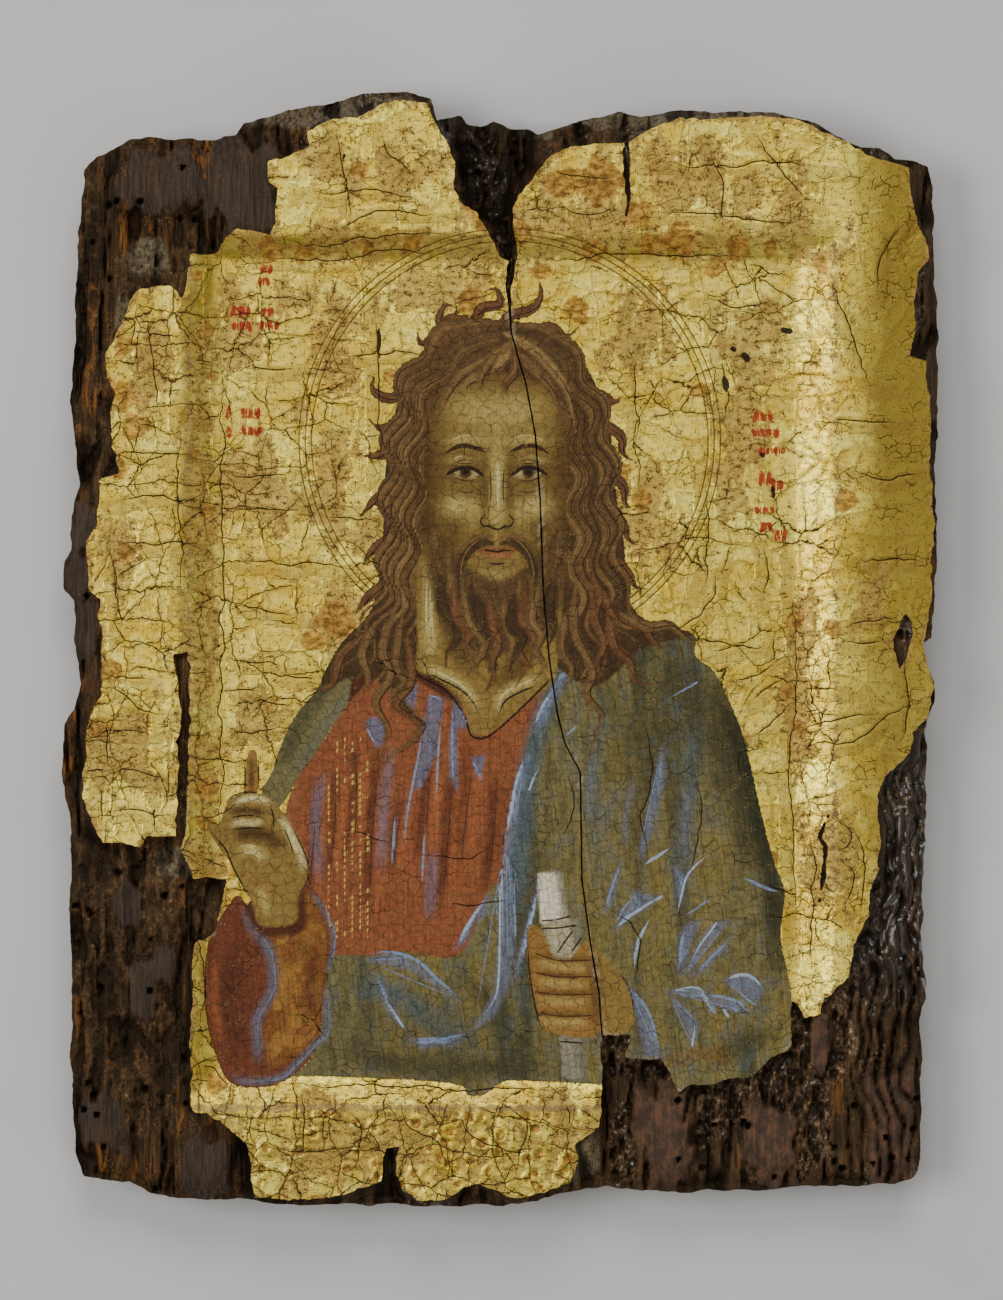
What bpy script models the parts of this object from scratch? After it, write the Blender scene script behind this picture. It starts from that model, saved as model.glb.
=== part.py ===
# Icon panel, lying on its back with the picture up: one worn wooden board with a sunk
# field, and the two plates of gilded ground left on it, parted by a full-height crack.
# Sizes are in millimetres until mesh vertices are made. +X is the picture's right, +Y its top.

import math
import random

import bmesh
import bpy
from mathutils import Vector, noise
from mathutils.geometry import delaunay_2d_cdt

MM = 0.001

# Board
BOARD_WIDTH = 197.5
BOARD_HEIGHT = 251.0
WOOD_FACE = 20.5
RECESS_DEPTH = 2.6
BORDER = {"left": 27.5, "right": 23.5, "top": 32.5, "bottom": 22.5}
BEVEL = {"left": 7.0, "right": 9.0, "top": 5.0, "bottom": 8.5}

# Gilded ground
GROUND_GAP = 0.3
GROUND_THICKNESS = 1.2

# Double ring scored into the ground around the head: middle, radii and the scored line
NIMBUS_MIDDLE = (2.2, 47.0)
NIMBUS_RADII = (45.0, 47.3)
NIMBUS_POINTS = 72
SCORE_HALF_WIDTH = 0.45
SCORE_DEPTH = 0.3

# Crack through both the ground and the upper part of the wood
CRACK_HALF_WIDTH = 0.35
CRACK_END_HALF_WIDTH = 0.85
CRACK_TOP_FLARE = 74.0
CRACK_FOOT_FLARE = -90.0
GROOVE_HALF_WIDTH = 0.7
GROOVE_DEPTH = 4.0

# Loss of wood where the ground is gone
BARE_LOSS = 1.5
BARE_SLOPE = 3.0
FIBRE_DEPTH = 1.1
FIBRE_WIDTH = 2.3
FIBRE_LENGTH = 30.0
CRUMB_DEPTH = 3.0
CRUMB_WIDTH = 5.0
CRUMB_LENGTH = 9.0
EDGE_WEAR = 2.2
EDGE_WIDTH = 5.0
NOTCH_DEPTH = 7.0
NOTCH_WALL = 3.0
SOUND_SHARE = 0.25
SOUND_EDGE = 2.5
LEAST_LOSS = 0.2
GALLERY_DEPTH = 1.6
GALLERY_SPACING = 3.2
GALLERY_SWAY = ((1.2, 5.5), (0.6, 2.3))

# Roughness of the broken edges and the spacing of the relief points
EDGE_STEP = 4.0
EDGE_ROUGHNESS = 0.45
RELIEF_STEP_X = 2.2
RELIEF_STEP_Y = 3.8
RELIEF_JITTER = 0.28
CLEAR_OF_LINES = 0.8
UNDER_PLATE_REACH = 1.5
SAME_POINT = 1e-4
SIDE_LEVELS = (0.7, 0.35, 0.0)
SIDE_HOLLOW = (1.4, 1.8, 1.6)
SIDE_WAVES = 60.0

# The board's worn outline, clockwise from the upper left corner
BOARD_TOP = (
    (-94.8, 102), (-94, 108), (-91.5, 111), (-84, 114.8), (-78, 115.5), (-65.5, 114.6), (-60, 116),
    (-57.8, 118.7), (-48, 121.6), (-36, 123.8), (-31, 125.2), (-21.3, 125.6), (-15.7, 124),
    (-14.2, 119), (-9.2, 121), (-7.6, 119), (-4.5, 118.4), (-1.6, 119.8), (2.2, 117.8), (6.3, 117.8),
    (8.3, 116.2), (17.8, 119.3), (26.7, 121.3), (31.5, 120), (43.6, 121.4), (58, 120.8), (66, 119.6),
    (72, 117.8), (75.3, 115.5), (81, 112.8), (86, 113), (89, 110.3), (96.4, 108.8),
)
BOARD_RIGHT = (
    (97.8, 104.3), (97.5, 93.5), (98.7, 78), (98.7, 51.5), (98, 33.5), (98.4, 20), (97.1, 2.7),
    (95.1, 1.3), (96, -3.6), (98, -8.5), (97.8, -12), (96, -15.5), (96.2, -34), (95.3, -52),
    (95.3, -67.5), (96.2, -78), (94.6, -84.3), (95.3, -92.6), (94.4, -117.3), (93, -119.1), (89.4, -120.4),
)
BOARD_FOOT = (
    (69, -120.9), (43, -122.2), (24.3, -120.9), (16, -122), (8.8, -123.8), (-1, -125.4), (-18, -125.4),
    (-45, -124.9), (-54.6, -124), (-66.3, -123.8), (-79, -122.5), (-83.8, -119.8), (-94.4, -118.7),
)
BOARD_LEFT = (
    (-96, -113.7), (-97, -101), (-97, -81), (-97.5, -57.5), (-97.3, -38), (-98.8, -31), (-98.8, -17),
    (-96.4, -13.5), (-94.8, -7.6), (-96.4, 2), (-96.6, 11), (-98.7, 13.3), (-98.7, 20), (-97.1, 22.5),
    (-96.6, 33.3), (-95.1, 37), (-96, 45), (-97.3, 56), (-96.5, 67), (-96.4, 79), (-95.5, 94),
)

# Middle of the crack, from the notch down to the foot
CRACK_LINE = (
    (1.6, 93.5), (2.7, 87.2), (1.8, 81.6), (2.5, 71.2), (5.8, 59.6), (7.9, 48.3), (9, 33.7), (9.7, 13.3),
    (11, -2), (12.8, -14.2), (14.6, -21.3), (18, -27.6), (18.4, -52), (20.2, -65.6), (22.2, -77.3),
    (22.9, -86.7), (23.8, -97), (24.2, -117.5),
)
CRACK_IN_LEFT_PLATE = slice(1, 17)
CRACK_IN_RIGHT_PLATE = slice(1, 16)

# Broken edge of the left plate, from the notch round to the foot of the crack
LEFT_PLATE_TOP = (
    (-0.2, 88.8), (-5.4, 98), (-8.8, 100.4), (-10.6, 104.3), (-10.1, 109.4), (-14.8, 119), (-16.6, 122.7),
    (-23, 123.4), (-32, 119.3), (-40, 118), (-43.4, 116), (-43.1, 112.8), (-52, 109.4), (-52, 105.2),
    (-50, 103.4), (-50.6, 95.7), (-51.7, 92.8), (-58.7, 94.4), (-61.3, 93), (-63.4, 89.2), (-69.4, 88.8),
    (-71.5, 78.4), (-73.3, 81.6), (-81, 81), (-83, 78.4), (-84.5, 74.2), (-88.5, 66.5),
)
LEFT_PLATE_SIDE = (
    (-88.3, 60.7), (-86.5, 57.3), (-87.6, 48.3), (-85.6, 39.3), (-90.1, 38), (-90.6, 27.6), (-92.8, 23.8),
    (-92.6, 13), (-89.7, 11.2), (-89.4, -9.9), (-91, -12.8), (-93, -20.2), (-93.9, -33), (-91.7, -39),
    (-89.2, -43.4), (-80.7, -44.3), (-79.3, -42), (-72.6, -42),
)
LEFT_PLATE_SLIT = ((-71.9, -12), (-73.7, -1.1), (-70.3, -0.7), (-69.6, -11.5), (-70.3, -36.4))
LEFT_PLATE_FOOT = (
    (-71.4, -45.2), (-69, -51.5), (-61.6, -52), (-64.5, -64), (-68.3, -66), (-69.4, -71.5), (-69.7, -100.7),
    (-68.8, -103.6), (-63, -106), (-56.6, -111.5), (-55.1, -123), (-45, -123.6), (-34.6, -122.5),
    (-26.5, -119.6), (-25.8, -112), (-22.5, -111.2), (-23.6, -117), (-22, -121.6), (-17.8, -123.8),
    (-13.7, -123.8), (-6.5, -120), (3.8, -123.2), (15.5, -120), (17.5, -115), (16.9, -111.2), (22.2, -107.4),
)

# Broken edge of the right plate, from the notch round to the crack
RIGHT_PLATE_TOP = (
    (4, 88.8), (2.7, 99), (6.7, 104.7), (11, 110), (14.4, 112.6), (27.8, 113.4), (28.1, 93), (28.9, 93),
    (29, 114), (35, 117.3), (41, 119.3), (58, 119.6), (68.5, 118.2), (75.3, 115), (81, 111.7), (91.7, 108),
)
RIGHT_PLATE_SIDE = (
    (92.1, 103.4), (96.4, 88), (93.9, 84.5), (92.1, 66), (95.7, 64.7), (96.6, 44.7), (97, 11), (95.1, 1.3),
    (97.6, -8.5), (96, -15.5), (93, -18.7), (92.1, -23.4), (86.5, -28.5), (84.5, -36), (85.4, -43),
    (84.9, -49.2), (82.9, -54), (82.9, -59.6), (79.3, -66.7), (78.2, -73.5), (73, -78.7), (71.9, -82.2),
    (68.3, -82.7), (65.4, -78),
)
RIGHT_PLATE_FOOT = (
    (65.4, -89.4), (61.6, -91.5), (55.5, -96.6), (43, -97.8), (40, -99.6), (36, -92), (28, -92),
    (29.7, -86.7),
)
RIGHT_PLATE_BLISTER = ((91, 8.1), (92.6, 5.4), (91.9, -0.2), (89.7, -4.5), (87.9, 2))
RIGHT_PLATE_SPLIT = ((73.7, -37.3), (71, -42.2), (72.6, -44.5), (72, -50.8), (71.4, -58.7), (73.2, -50.8),
                     (73.7, -44.5), (72.3, -42.2))

# Deep wedge broken out of the top, and the sound patches that stand above the loss:
# middle x and y, half width and half height
NOTCH = ((-14.5, 127), (-10.3, 105), (1.2, 87.5), (3, 101), (8.5, 108), (9.5, 127))
SOUND_PATCHES = (
    (-57.5, 104, 6.5, 10.5),
    (-77, 106, 9, 7),
    (-80.5, -77, 3, 6),
    (-75.5, -71, 2.6, 4.5),
    (-66.5, -116.5, 6, 7),
    (37, -110, 5.6, 11.5),
    (61, -111.5, 6.2, 9),
    (71.5, -88.5, 2.3, 6.5),
    (87.5, -107, 5, 12),
)
GALLERIES = {"left": 80.5, "right": 95.0, "top": -76.0, "foot": -119.0}


def smooth_step(share):
    share = min(max(share, 0.0), 1.0)
    return share * share * (3.0 - 2.0 * share)


def as_points(corners):
    return [Vector((x, y)) for x, y in corners]


def sides_of(points, closed=True):
    ends = points[1:] + points[:1] if closed else points[1:]
    return list(zip(points, ends))


def gap_to(spot, sides):
    # Shortest distance from a spot to a run of straight sides
    nearest = math.inf
    for start, end in sides:
        along = end - start
        share = (spot - start).dot(along) / along.length_squared
        foot = start + along * min(max(share, 0.0), 1.0)
        nearest = min(nearest, (foot - spot).length)
    return nearest


def is_inside(spot, sides):
    crossings = 0
    for start, end in sides:
        if (start.y > spot.y) != (end.y > spot.y):
            crossing = start.x + (spot.y - start.y) * (end.x - start.x) / (end.y - start.y)
            crossings += crossing > spot.x
    return crossings % 2 == 1


def ragged(corners, seed):
    # Splits the sides of a broken edge and pushes each new point in or out a little
    chance = random.Random(seed)
    points = []
    for start, end in sides_of(as_points(corners), closed=False):
        side = end - start
        count = max(1, round(side.length / EDGE_STEP))
        across = Vector((-side.y, side.x)).normalized()
        points.append(start)
        for index in range(1, count):
            push = chance.uniform(-EDGE_ROUGHNESS, EDGE_ROUGHNESS)
            points.append(start + side * (index / count) + across * push)
    points.append(Vector(corners[-1]))
    return points


def crack_side(stretch, direction):
    # The crack's middle line moved sideways, wider at the top and the foot
    points = []
    for x, y in CRACK_LINE[stretch]:
        flared = y > CRACK_TOP_FLARE or y < CRACK_FOOT_FLARE
        half_width = CRACK_END_HALF_WIDTH if flared else CRACK_HALF_WIDTH
        points.append(Vector((x + direction * half_width, y)))
    return points


def left_plate_outline():
    corners = LEFT_PLATE_TOP + LEFT_PLATE_SIDE + LEFT_PLATE_SLIT + LEFT_PLATE_FOOT
    return ragged(corners, seed=3) + crack_side(CRACK_IN_LEFT_PLATE, -1)[::-1]


def right_plate_outline():
    corners = RIGHT_PLATE_TOP + RIGHT_PLATE_SIDE + RIGHT_PLATE_FOOT
    return ragged(corners, seed=5) + crack_side(CRACK_IN_RIGHT_PLATE, 1)[::-1]


def board_outline():
    # Clockwise, and fitted exactly to the board's width and height
    corners = BOARD_TOP + BOARD_RIGHT + BOARD_FOOT + BOARD_LEFT
    points = ragged(corners + corners[:1], seed=7)[:-1]
    xs = [point.x for point in points]
    ys = [point.y for point in points]
    middle = Vector((max(xs) + min(xs), max(ys) + min(ys))) / 2
    stretch = Vector((BOARD_WIDTH / (max(xs) - min(xs)), BOARD_HEIGHT / (max(ys) - min(ys))))
    return [(point - middle) * stretch for point in points]


def recess_edges(inset):
    # Left, right, foot and top of the bevel; an inset of 0 is its upper edge and 1 its foot
    left = -BOARD_WIDTH / 2 + BORDER["left"] + inset * BEVEL["left"]
    right = BOARD_WIDTH / 2 - BORDER["right"] - inset * BEVEL["right"]
    foot = -BOARD_HEIGHT / 2 + BORDER["bottom"] + inset * BEVEL["bottom"]
    top = BOARD_HEIGHT / 2 - BORDER["top"] - inset * BEVEL["top"]
    return left, right, foot, top


def recess_corners(inset):
    left, right, foot, top = recess_edges(inset)
    return as_points(((left, foot), (right, foot), (right, top), (left, top)))


def bevel_lines():
    # Edges of the bevel and its mitres, in short steps so that they can wear with the wood
    upper = recess_corners(0.0)
    lower = recess_corners(1.0)
    steps = []
    for start, end in sides_of(upper) + sides_of(lower) + list(zip(upper, lower)):
        count = max(1, round((end - start).length / EDGE_STEP))
        steps += sides_of([start.lerp(end, index / count) for index in range(count + 1)], closed=False)
    return steps


def ring_lines(radius):
    turn = 2 * math.pi / NIMBUS_POINTS
    spokes = [Vector((math.cos(index * turn), math.sin(index * turn))) for index in range(NIMBUS_POINTS)]
    return sides_of([Vector(NIMBUS_MIDDLE) + spoke * radius for spoke in spokes])


def score_lines():
    # Middle and both shoulders of each scored ring
    radii = [radius + side * SCORE_HALF_WIDTH for radius in NIMBUS_RADII for side in (-1, 0, 1)]
    return [line for radius in radii for line in ring_lines(radius)]


def score_depth(spot):
    reach = (spot - Vector(NIMBUS_MIDDLE)).length
    off_line = min(abs(reach - radius) for radius in NIMBUS_RADII)
    return SCORE_DEPTH * max(0.0, 1.0 - off_line / SCORE_HALF_WIDTH)


def face_height(spot):
    # Height of the wood's first face: border, bevel or sunk field
    left, right, foot, top = recess_edges(0.0)
    share = min(
        (spot.x - left) / BEVEL["left"],
        (right - spot.x) / BEVEL["right"],
        (spot.y - foot) / BEVEL["bottom"],
        (top - spot.y) / BEVEL["top"],
    )
    return WOOD_FACE - RECESS_DEPTH * min(max(share, 0.0), 1.0)


def fibre_loss(spot):
    fibre = noise.noise(Vector((spot.x / FIBRE_WIDTH, spot.y / FIBRE_LENGTH, 1.7)))
    crumb = noise.noise(Vector((spot.x / CRUMB_WIDTH, spot.y / CRUMB_LENGTH, 5.2)))
    return FIBRE_DEPTH * (fibre + 0.5) + CRUMB_DEPTH * max(crumb, 0.0)


def sound_share(spot):
    # 1 on a sound patch, falling to 0 just outside it
    best = 0.0
    for x, y, half_width, half_height in SOUND_PATCHES:
        outside = max(abs(spot.x - x) - half_width, abs(spot.y - y) - half_height)
        best = max(best, 1.0 - smooth_step(outside / SOUND_EDGE))
    return best


def gallery_loss(spot):
    # Worm galleries laid open side by side along the grain
    if not GALLERIES["left"] < spot.x < GALLERIES["right"]:
        return 0.0
    if not GALLERIES["foot"] < spot.y < GALLERIES["top"]:
        return 0.0
    sway = sum(reach * math.sin(spot.y / pace) for reach, pace in GALLERY_SWAY)
    wave = math.cos((spot.x + sway) / GALLERY_SPACING * 2 * math.pi)
    return GALLERY_DEPTH * max(wave, 0.0)


def notch_loss(spot, notch_sides):
    if not is_inside(spot, notch_sides):
        return 0.0
    return NOTCH_DEPTH * smooth_step(gap_to(spot, notch_sides) / NOTCH_WALL)


def groove_loss(spot, crack_sides):
    return GROOVE_DEPTH * max(0.0, 1.0 - gap_to(spot, crack_sides) / GROOVE_HALF_WIDTH)


def wood_loss(spot, board_sides, plates, notch_sides, crack_sides):
    loss = groove_loss(spot, crack_sides)
    if any(is_inside(spot, plate) for plate in plates):
        return loss
    bare = smooth_step(min(gap_to(spot, plate) for plate in plates) / BARE_SLOPE)
    surface = BARE_LOSS + fibre_loss(spot) + gallery_loss(spot)
    surface *= 1.0 - (1.0 - SOUND_SHARE) * sound_share(spot)
    wear = EDGE_WEAR * (1.0 - smooth_step(gap_to(spot, board_sides) / EDGE_WIDTH))
    return loss + bare * max(LEAST_LOSS, surface + wear) + notch_loss(spot, notch_sides)


def relief_spots(board_sides, plates, lines):
    # Jittered rows of points over the bare wood, clear of the edges and the drawn lines
    chance = random.Random(11)
    spots = []
    columns = int(BOARD_WIDTH / RELIEF_STEP_X)
    rows = int(BOARD_HEIGHT / RELIEF_STEP_Y)
    for column in range(columns):
        for row in range(rows):
            x = (column + 0.5 + chance.uniform(-RELIEF_JITTER, RELIEF_JITTER)) * RELIEF_STEP_X
            y = (row + 0.5 + chance.uniform(-RELIEF_JITTER, RELIEF_JITTER)) * RELIEF_STEP_Y
            spot = Vector((x - BOARD_WIDTH / 2, y - BOARD_HEIGHT / 2))
            if any(is_inside(spot, plate) and gap_to(spot, plate) > UNDER_PLATE_REACH for plate in plates):
                continue
            if not is_inside(spot, board_sides):
                continue
            if gap_to(spot, board_sides + lines) > CLEAR_OF_LINES:
                spots.append(spot)
    return spots


def filled_sheet(loops, lines, spots, outline_sides, hole_sides, height):
    # Triangulates an outline with its holes and drawn lines into an upward-facing sheet
    corners = []
    edges = []
    for loop in loops:
        first = len(corners)
        corners += loop
        edges += [(first + i, first + (i + 1) % len(loop)) for i in range(len(loop))]
    for start, end in lines:
        edges.append((len(corners), len(corners) + 1))
        corners += [start, end]
    flat, _, triangles, *_ = delaunay_2d_cdt(corners + spots, edges, [], 0, SAME_POINT, False)
    bm = bmesh.new()
    verts = [bm.verts.new((spot.x, spot.y, height(spot))) for spot in flat]
    for triangle in triangles:
        middle = sum((flat[i] for i in triangle), Vector((0, 0))) / len(triangle)
        if is_inside(middle, outline_sides) and not any(is_inside(middle, hole) for hole in hole_sides):
            bm.faces.new([verts[i] for i in triangle])
    bmesh.ops.delete(bm, geom=[vert for vert in bm.verts if not vert.link_faces], context="VERTS")
    for face in bm.faces:
        if face.normal.z < 0:
            face.normal_flip()
    return bm


def as_part(name, bm, material):
    bmesh.ops.scale(bm, vec=(MM, MM, MM), verts=bm.verts)
    bmesh.ops.recalc_face_normals(bm, faces=bm.faces)
    mesh = bpy.data.meshes.new(name)
    bm.to_mesh(mesh)
    bm.free()
    mesh.materials.append(material)
    part = bpy.data.objects.new(name, mesh)
    bpy.context.collection.objects.link(part)
    return part


def finish(name, color, roughness, metallic=0.0):
    material = bpy.data.materials.new(name)
    material.use_nodes = True
    shader = material.node_tree.nodes["Principled BSDF"]
    shader.inputs["Base Color"].default_value = (*color, 1.0)
    shader.inputs["Roughness"].default_value = roughness
    shader.inputs["Metallic"].default_value = metallic
    return material


def inward_of(outline):
    # Direction into the board at each point of its clockwise outline
    count = len(outline)
    inward = []
    for index in range(count):
        along = outline[(index + 1) % count] - outline[index - 1]
        inward.append(Vector((along.y, -along.x)).normalized())
    return inward


def make_board(outline, plates, material):
    board_sides = sides_of(outline)
    notch_sides = sides_of(as_points(NOTCH))
    crack = as_points(CRACK_LINE)
    crack_sides = sides_of(crack, closed=False)
    lines = bevel_lines() + crack_sides
    for direction in (-GROOVE_HALF_WIDTH, GROOVE_HALF_WIDTH):
        lines += sides_of([point + Vector((direction, 0)) for point in crack], closed=False)

    def height(spot):
        return face_height(spot) - wood_loss(spot, board_sides, plates, notch_sides, crack_sides)

    spots = relief_spots(board_sides, plates, lines)
    bm = filled_sheet([outline], lines, spots, board_sides, [], height)

    # The worn sides: each ring is drawn down from the one above and hollowed unevenly
    rim = [edge for edge in bm.edges if edge.is_boundary]
    inward = inward_of(outline)
    places = {(round(point.x, 3), round(point.y, 3)): index for index, point in enumerate(outline)}
    index_of = {}
    for vert in {vert for edge in rim for vert in edge.verts}:
        index_of[vert] = places[(round(vert.co.x, 3), round(vert.co.y, 3))]
    top_heights = {index: vert.co.z for vert, index in index_of.items()}
    for level, (share, hollow) in enumerate(zip(SIDE_LEVELS, SIDE_HOLLOW)):
        made = bmesh.ops.extrude_edge_only(bm, edges=rim)["geom"]
        rim = [item for item in made if isinstance(item, bmesh.types.BMEdge) and item.is_boundary]
        upper = index_of
        index_of = {}
        for vert in {vert for edge in rim for vert in edge.verts}:
            above = next(edge.other_vert(vert) for edge in vert.link_edges if edge.other_vert(vert) in upper)
            index = upper[above]
            index_of[vert] = index
            along = index / len(outline)
            dent = 0.5 + noise.noise(Vector((SIDE_WAVES * along, level * 3.1, 0.4)))
            spot = outline[index] + inward[index] * hollow * min(max(dent, 0.0), 1.0)
            vert.co = (spot.x, spot.y, top_heights[index] * share)
    bmesh.ops.edgeloop_fill(bm, edges=rim)
    return as_part("wooden_board", bm, material)


def make_plate(name, outline, holes, material):
    loops = [outline] + holes
    hole_sides = [sides_of(hole) for hole in holes]

    def underside(spot):
        return face_height(spot) + GROUND_GAP

    bm = filled_sheet(loops, bevel_lines() + score_lines(), [], sides_of(outline), hole_sides, underside)
    made = bmesh.ops.extrude_face_region(bm, geom=bm.faces[:])["geom"]
    for vert in made:
        if isinstance(vert, bmesh.types.BMVert):
            vert.co.z += GROUND_THICKNESS - score_depth(vert.co.xy)
    return as_part(name, bm, material)


def main():
    for old in list(bpy.data.objects):
        bpy.data.objects.remove(old, do_unlink=True)
    dark_wood = finish("dark_wood", (0.045, 0.024, 0.014), roughness=0.55)
    gilded_ground = finish("gilded_ground", (0.55, 0.40, 0.14), roughness=0.4, metallic=0.6)
    left_outline = left_plate_outline()
    right_outline = right_plate_outline()
    plates = [sides_of(left_outline), sides_of(right_outline)]
    make_board(board_outline(), plates, dark_wood)
    make_plate("gesso_left", left_outline, [], gilded_ground)
    right_holes = [as_points(RIGHT_PLATE_BLISTER), as_points(RIGHT_PLATE_SPLIT)]
    make_plate("gesso_right", right_outline, right_holes, gilded_ground)


main()
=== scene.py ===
# Icon panel lying on its back: an old worm-eaten board under what is left of its gilded,
# painted ground. Sizes are in millimetres until a mesh is written, +X right and +Y up.
import math

import bmesh
import bpy
import numpy as np
from mathutils import Matrix, Vector
from mathutils.bvhtree import BVHTree


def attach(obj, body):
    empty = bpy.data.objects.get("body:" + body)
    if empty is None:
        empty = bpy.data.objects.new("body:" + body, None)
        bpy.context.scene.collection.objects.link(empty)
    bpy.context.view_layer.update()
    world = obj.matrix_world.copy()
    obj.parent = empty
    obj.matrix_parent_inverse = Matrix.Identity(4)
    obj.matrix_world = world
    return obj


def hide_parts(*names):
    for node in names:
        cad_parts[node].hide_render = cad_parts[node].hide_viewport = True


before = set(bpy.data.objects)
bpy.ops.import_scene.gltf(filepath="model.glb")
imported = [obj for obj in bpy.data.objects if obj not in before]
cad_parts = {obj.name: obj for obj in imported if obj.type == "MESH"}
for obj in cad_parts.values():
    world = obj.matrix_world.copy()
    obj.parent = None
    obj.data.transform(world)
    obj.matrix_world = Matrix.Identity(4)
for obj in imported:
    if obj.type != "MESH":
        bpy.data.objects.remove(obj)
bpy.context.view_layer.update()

mm = 0.001

# Upper edge of the bevel round the sunk field, and the scored rings round the head
recess = {"left": -71.25, "right": 75.25, "foot": -103.0, "top": 93.0}
nimbus = {"middle": (2.2, 47.0), "radii": (44.6, 46.0, 47.4)}


# Numbers: soft steps, random fields, curves and distances

lattice = np.random.default_rng(21).random((256, 256))


def softStep(low, high, value):
    share = np.clip((value - low) / (high - low), 0.0, 1.0)
    return share * share * (3.0 - 2.0 * share)


def between(grid, i, j, a, b):
    # Value of a grid that wraps round, at the shares a and b of the way to its next column and row
    right = (i + 1) % grid.shape[0]
    above = (j + 1) % grid.shape[1]
    low = grid[i, j] * (1 - a) + grid[right, j] * a
    high = grid[i, above] * (1 - a) + grid[right, above] * a
    return low * (1 - b) + high * b


def field(x, y, sizeX, sizeY=None, seed=0, octaves=1):
    # Smooth random field from 0 to 1 whose bumps are sizeX wide and sizeY high
    total = np.zeros(np.shape(x))
    weight = 0.0
    for octave in range(octaves):
        u = x / sizeX * 2 ** octave + seed * 17.31 + octave * 5.7
        v = y / (sizeY or sizeX) * 2 ** octave + seed * 9.77 + octave * 3.1
        i = np.floor(u).astype(int)
        j = np.floor(v).astype(int)
        share = 0.5 ** octave
        total += between(lattice, i % 256, j % 256, softStep(0, 1, u - i), softStep(0, 1, v - j)) * share
        weight += share
    return total / weight


def pairs(points):
    # Points given one by one, or as one row of x, y, x, y
    return np.array(points, float).reshape(-1, 2)


def shifted(points, right, up=0):
    return pairs(points) + (right, up)


def ringed(points):
    points = pairs(points)
    return np.vstack([points, points[:1]])


def flowing(points, closed=False, step=1.0):
    # Smooth curve through the points, cut into short steps
    points = pairs(points)
    if closed:
        ring = np.vstack([points[-1:], points, points[:2]])
    else:
        ring = np.vstack([2 * points[:1] - points[1:2], points, 2 * points[-1:] - points[-2:-1]])
    curve = []
    for before, start, end, after in zip(ring[:-3], ring[1:-2], ring[2:-1], ring[3:]):
        count = max(2, int(np.hypot(*(end - start)) / step))
        t = (np.arange(count) / count)[:, None]
        curve.append(0.5 * (2 * start + (end - before) * t
                            + (2 * before - 5 * start + 4 * end - after) * t ** 2
                            + (3 * start - before - 3 * end + after) * t ** 3))
    curve.append(points[:1] if closed else points[-1:])
    return np.vstack(curve)


def nearRun(x, y, run, reach):
    # Distance to a run of short straight lines, the offset to its left, and how far along it is;
    # points further off than reach keep that as their distance
    gap = np.full(np.shape(x), float(reach))
    offset = gap.copy()
    along = np.zeros(np.shape(x))
    travelled = 0.0
    for start, end in zip(run[:-1], run[1:]):
        side = end - start
        length = float(np.hypot(*side))
        if length < 1e-6:
            continue
        low = np.minimum(start, end) - reach
        high = np.maximum(start, end) + reach
        spots = np.nonzero((x > low[0]) & (x < high[0]) & (y > low[1]) & (y < high[1]))[0]
        dx = x[spots] - start[0]
        dy = y[spots] - start[1]
        share = np.clip((dx * side[0] + dy * side[1]) / length ** 2, 0.0, 1.0)
        distance = np.hypot(dx - share * side[0], dy - share * side[1])
        closer = distance < gap[spots]
        spots = spots[closer]
        gap[spots] = distance[closer]
        offset[spots] = ((side[0] * dy - side[1] * dx) / length)[closer]
        along[spots] = travelled + share[closer] * length
        travelled += length
    return gap, offset, along / max(travelled, 1e-6)


def isInside(x, y, loop):
    inside = np.zeros(np.shape(x), bool)
    for start, end in zip(loop[:-1], loop[1:]):
        if start[1] == end[1]:
            continue
        spots = np.nonzero((y < start[1]) != (y < end[1]))[0]
        crossing = start[0] + (y[spots] - start[1]) * (end[0] - start[0]) / (end[1] - start[1])
        inside[spots] ^= x[spots] < crossing
    return inside


farGap = 6.0


def signedGap(x, y, loops, reach=farGap):
    # Distance to the nearest of the closed loops, positive inside the shape that they bound, up to reach
    gap = np.full(np.shape(x), float(reach))
    inside = np.zeros(np.shape(x), bool)
    for loop in loops:
        gap = np.minimum(gap, nearRun(x, y, loop, reach)[0])
        inside ^= isInside(x, y, loop)
    return np.where(inside, gap, -gap)


# Reading the frame: outlines and heights of the CAD solids

def mergedCopy(name):
    bm = bmesh.new()
    bm.from_mesh(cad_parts[name].data)
    bmesh.ops.remove_doubles(bm, verts=bm.verts, dist=1e-6)
    return bm


def ringsOf(edges):
    # Ordered points of each closed ring of edges, the first one repeated at the end
    links = {}
    for edge in edges:
        first, second = edge.verts
        links.setdefault(first, []).append(second)
        links.setdefault(second, []).append(first)
    rings = []
    while links:
        here = next(iter(links))
        ring = [here]
        while links[here]:
            after = links[here].pop()
            links[after].remove(here)
            ring.append(after)
            here = after
        links = {vert: ends for vert, ends in links.items() if ends}
        rings.append(np.array([vert.co[:2] for vert in ring]) / mm)
    return sorted(rings, key=len, reverse=True)


def plateRings(name):
    bm = mergedCopy(name)
    walls = {face for face in bm.faces if abs(face.normal.z) < 0.2}
    under = {face for face in bm.faces if face.normal.z < -0.5}
    rings = ringsOf([edge for edge in bm.edges
                     if any(face in walls for face in edge.link_faces)
                     and any(face in under for face in edge.link_faces)])
    bm.free()
    return rings


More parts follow.
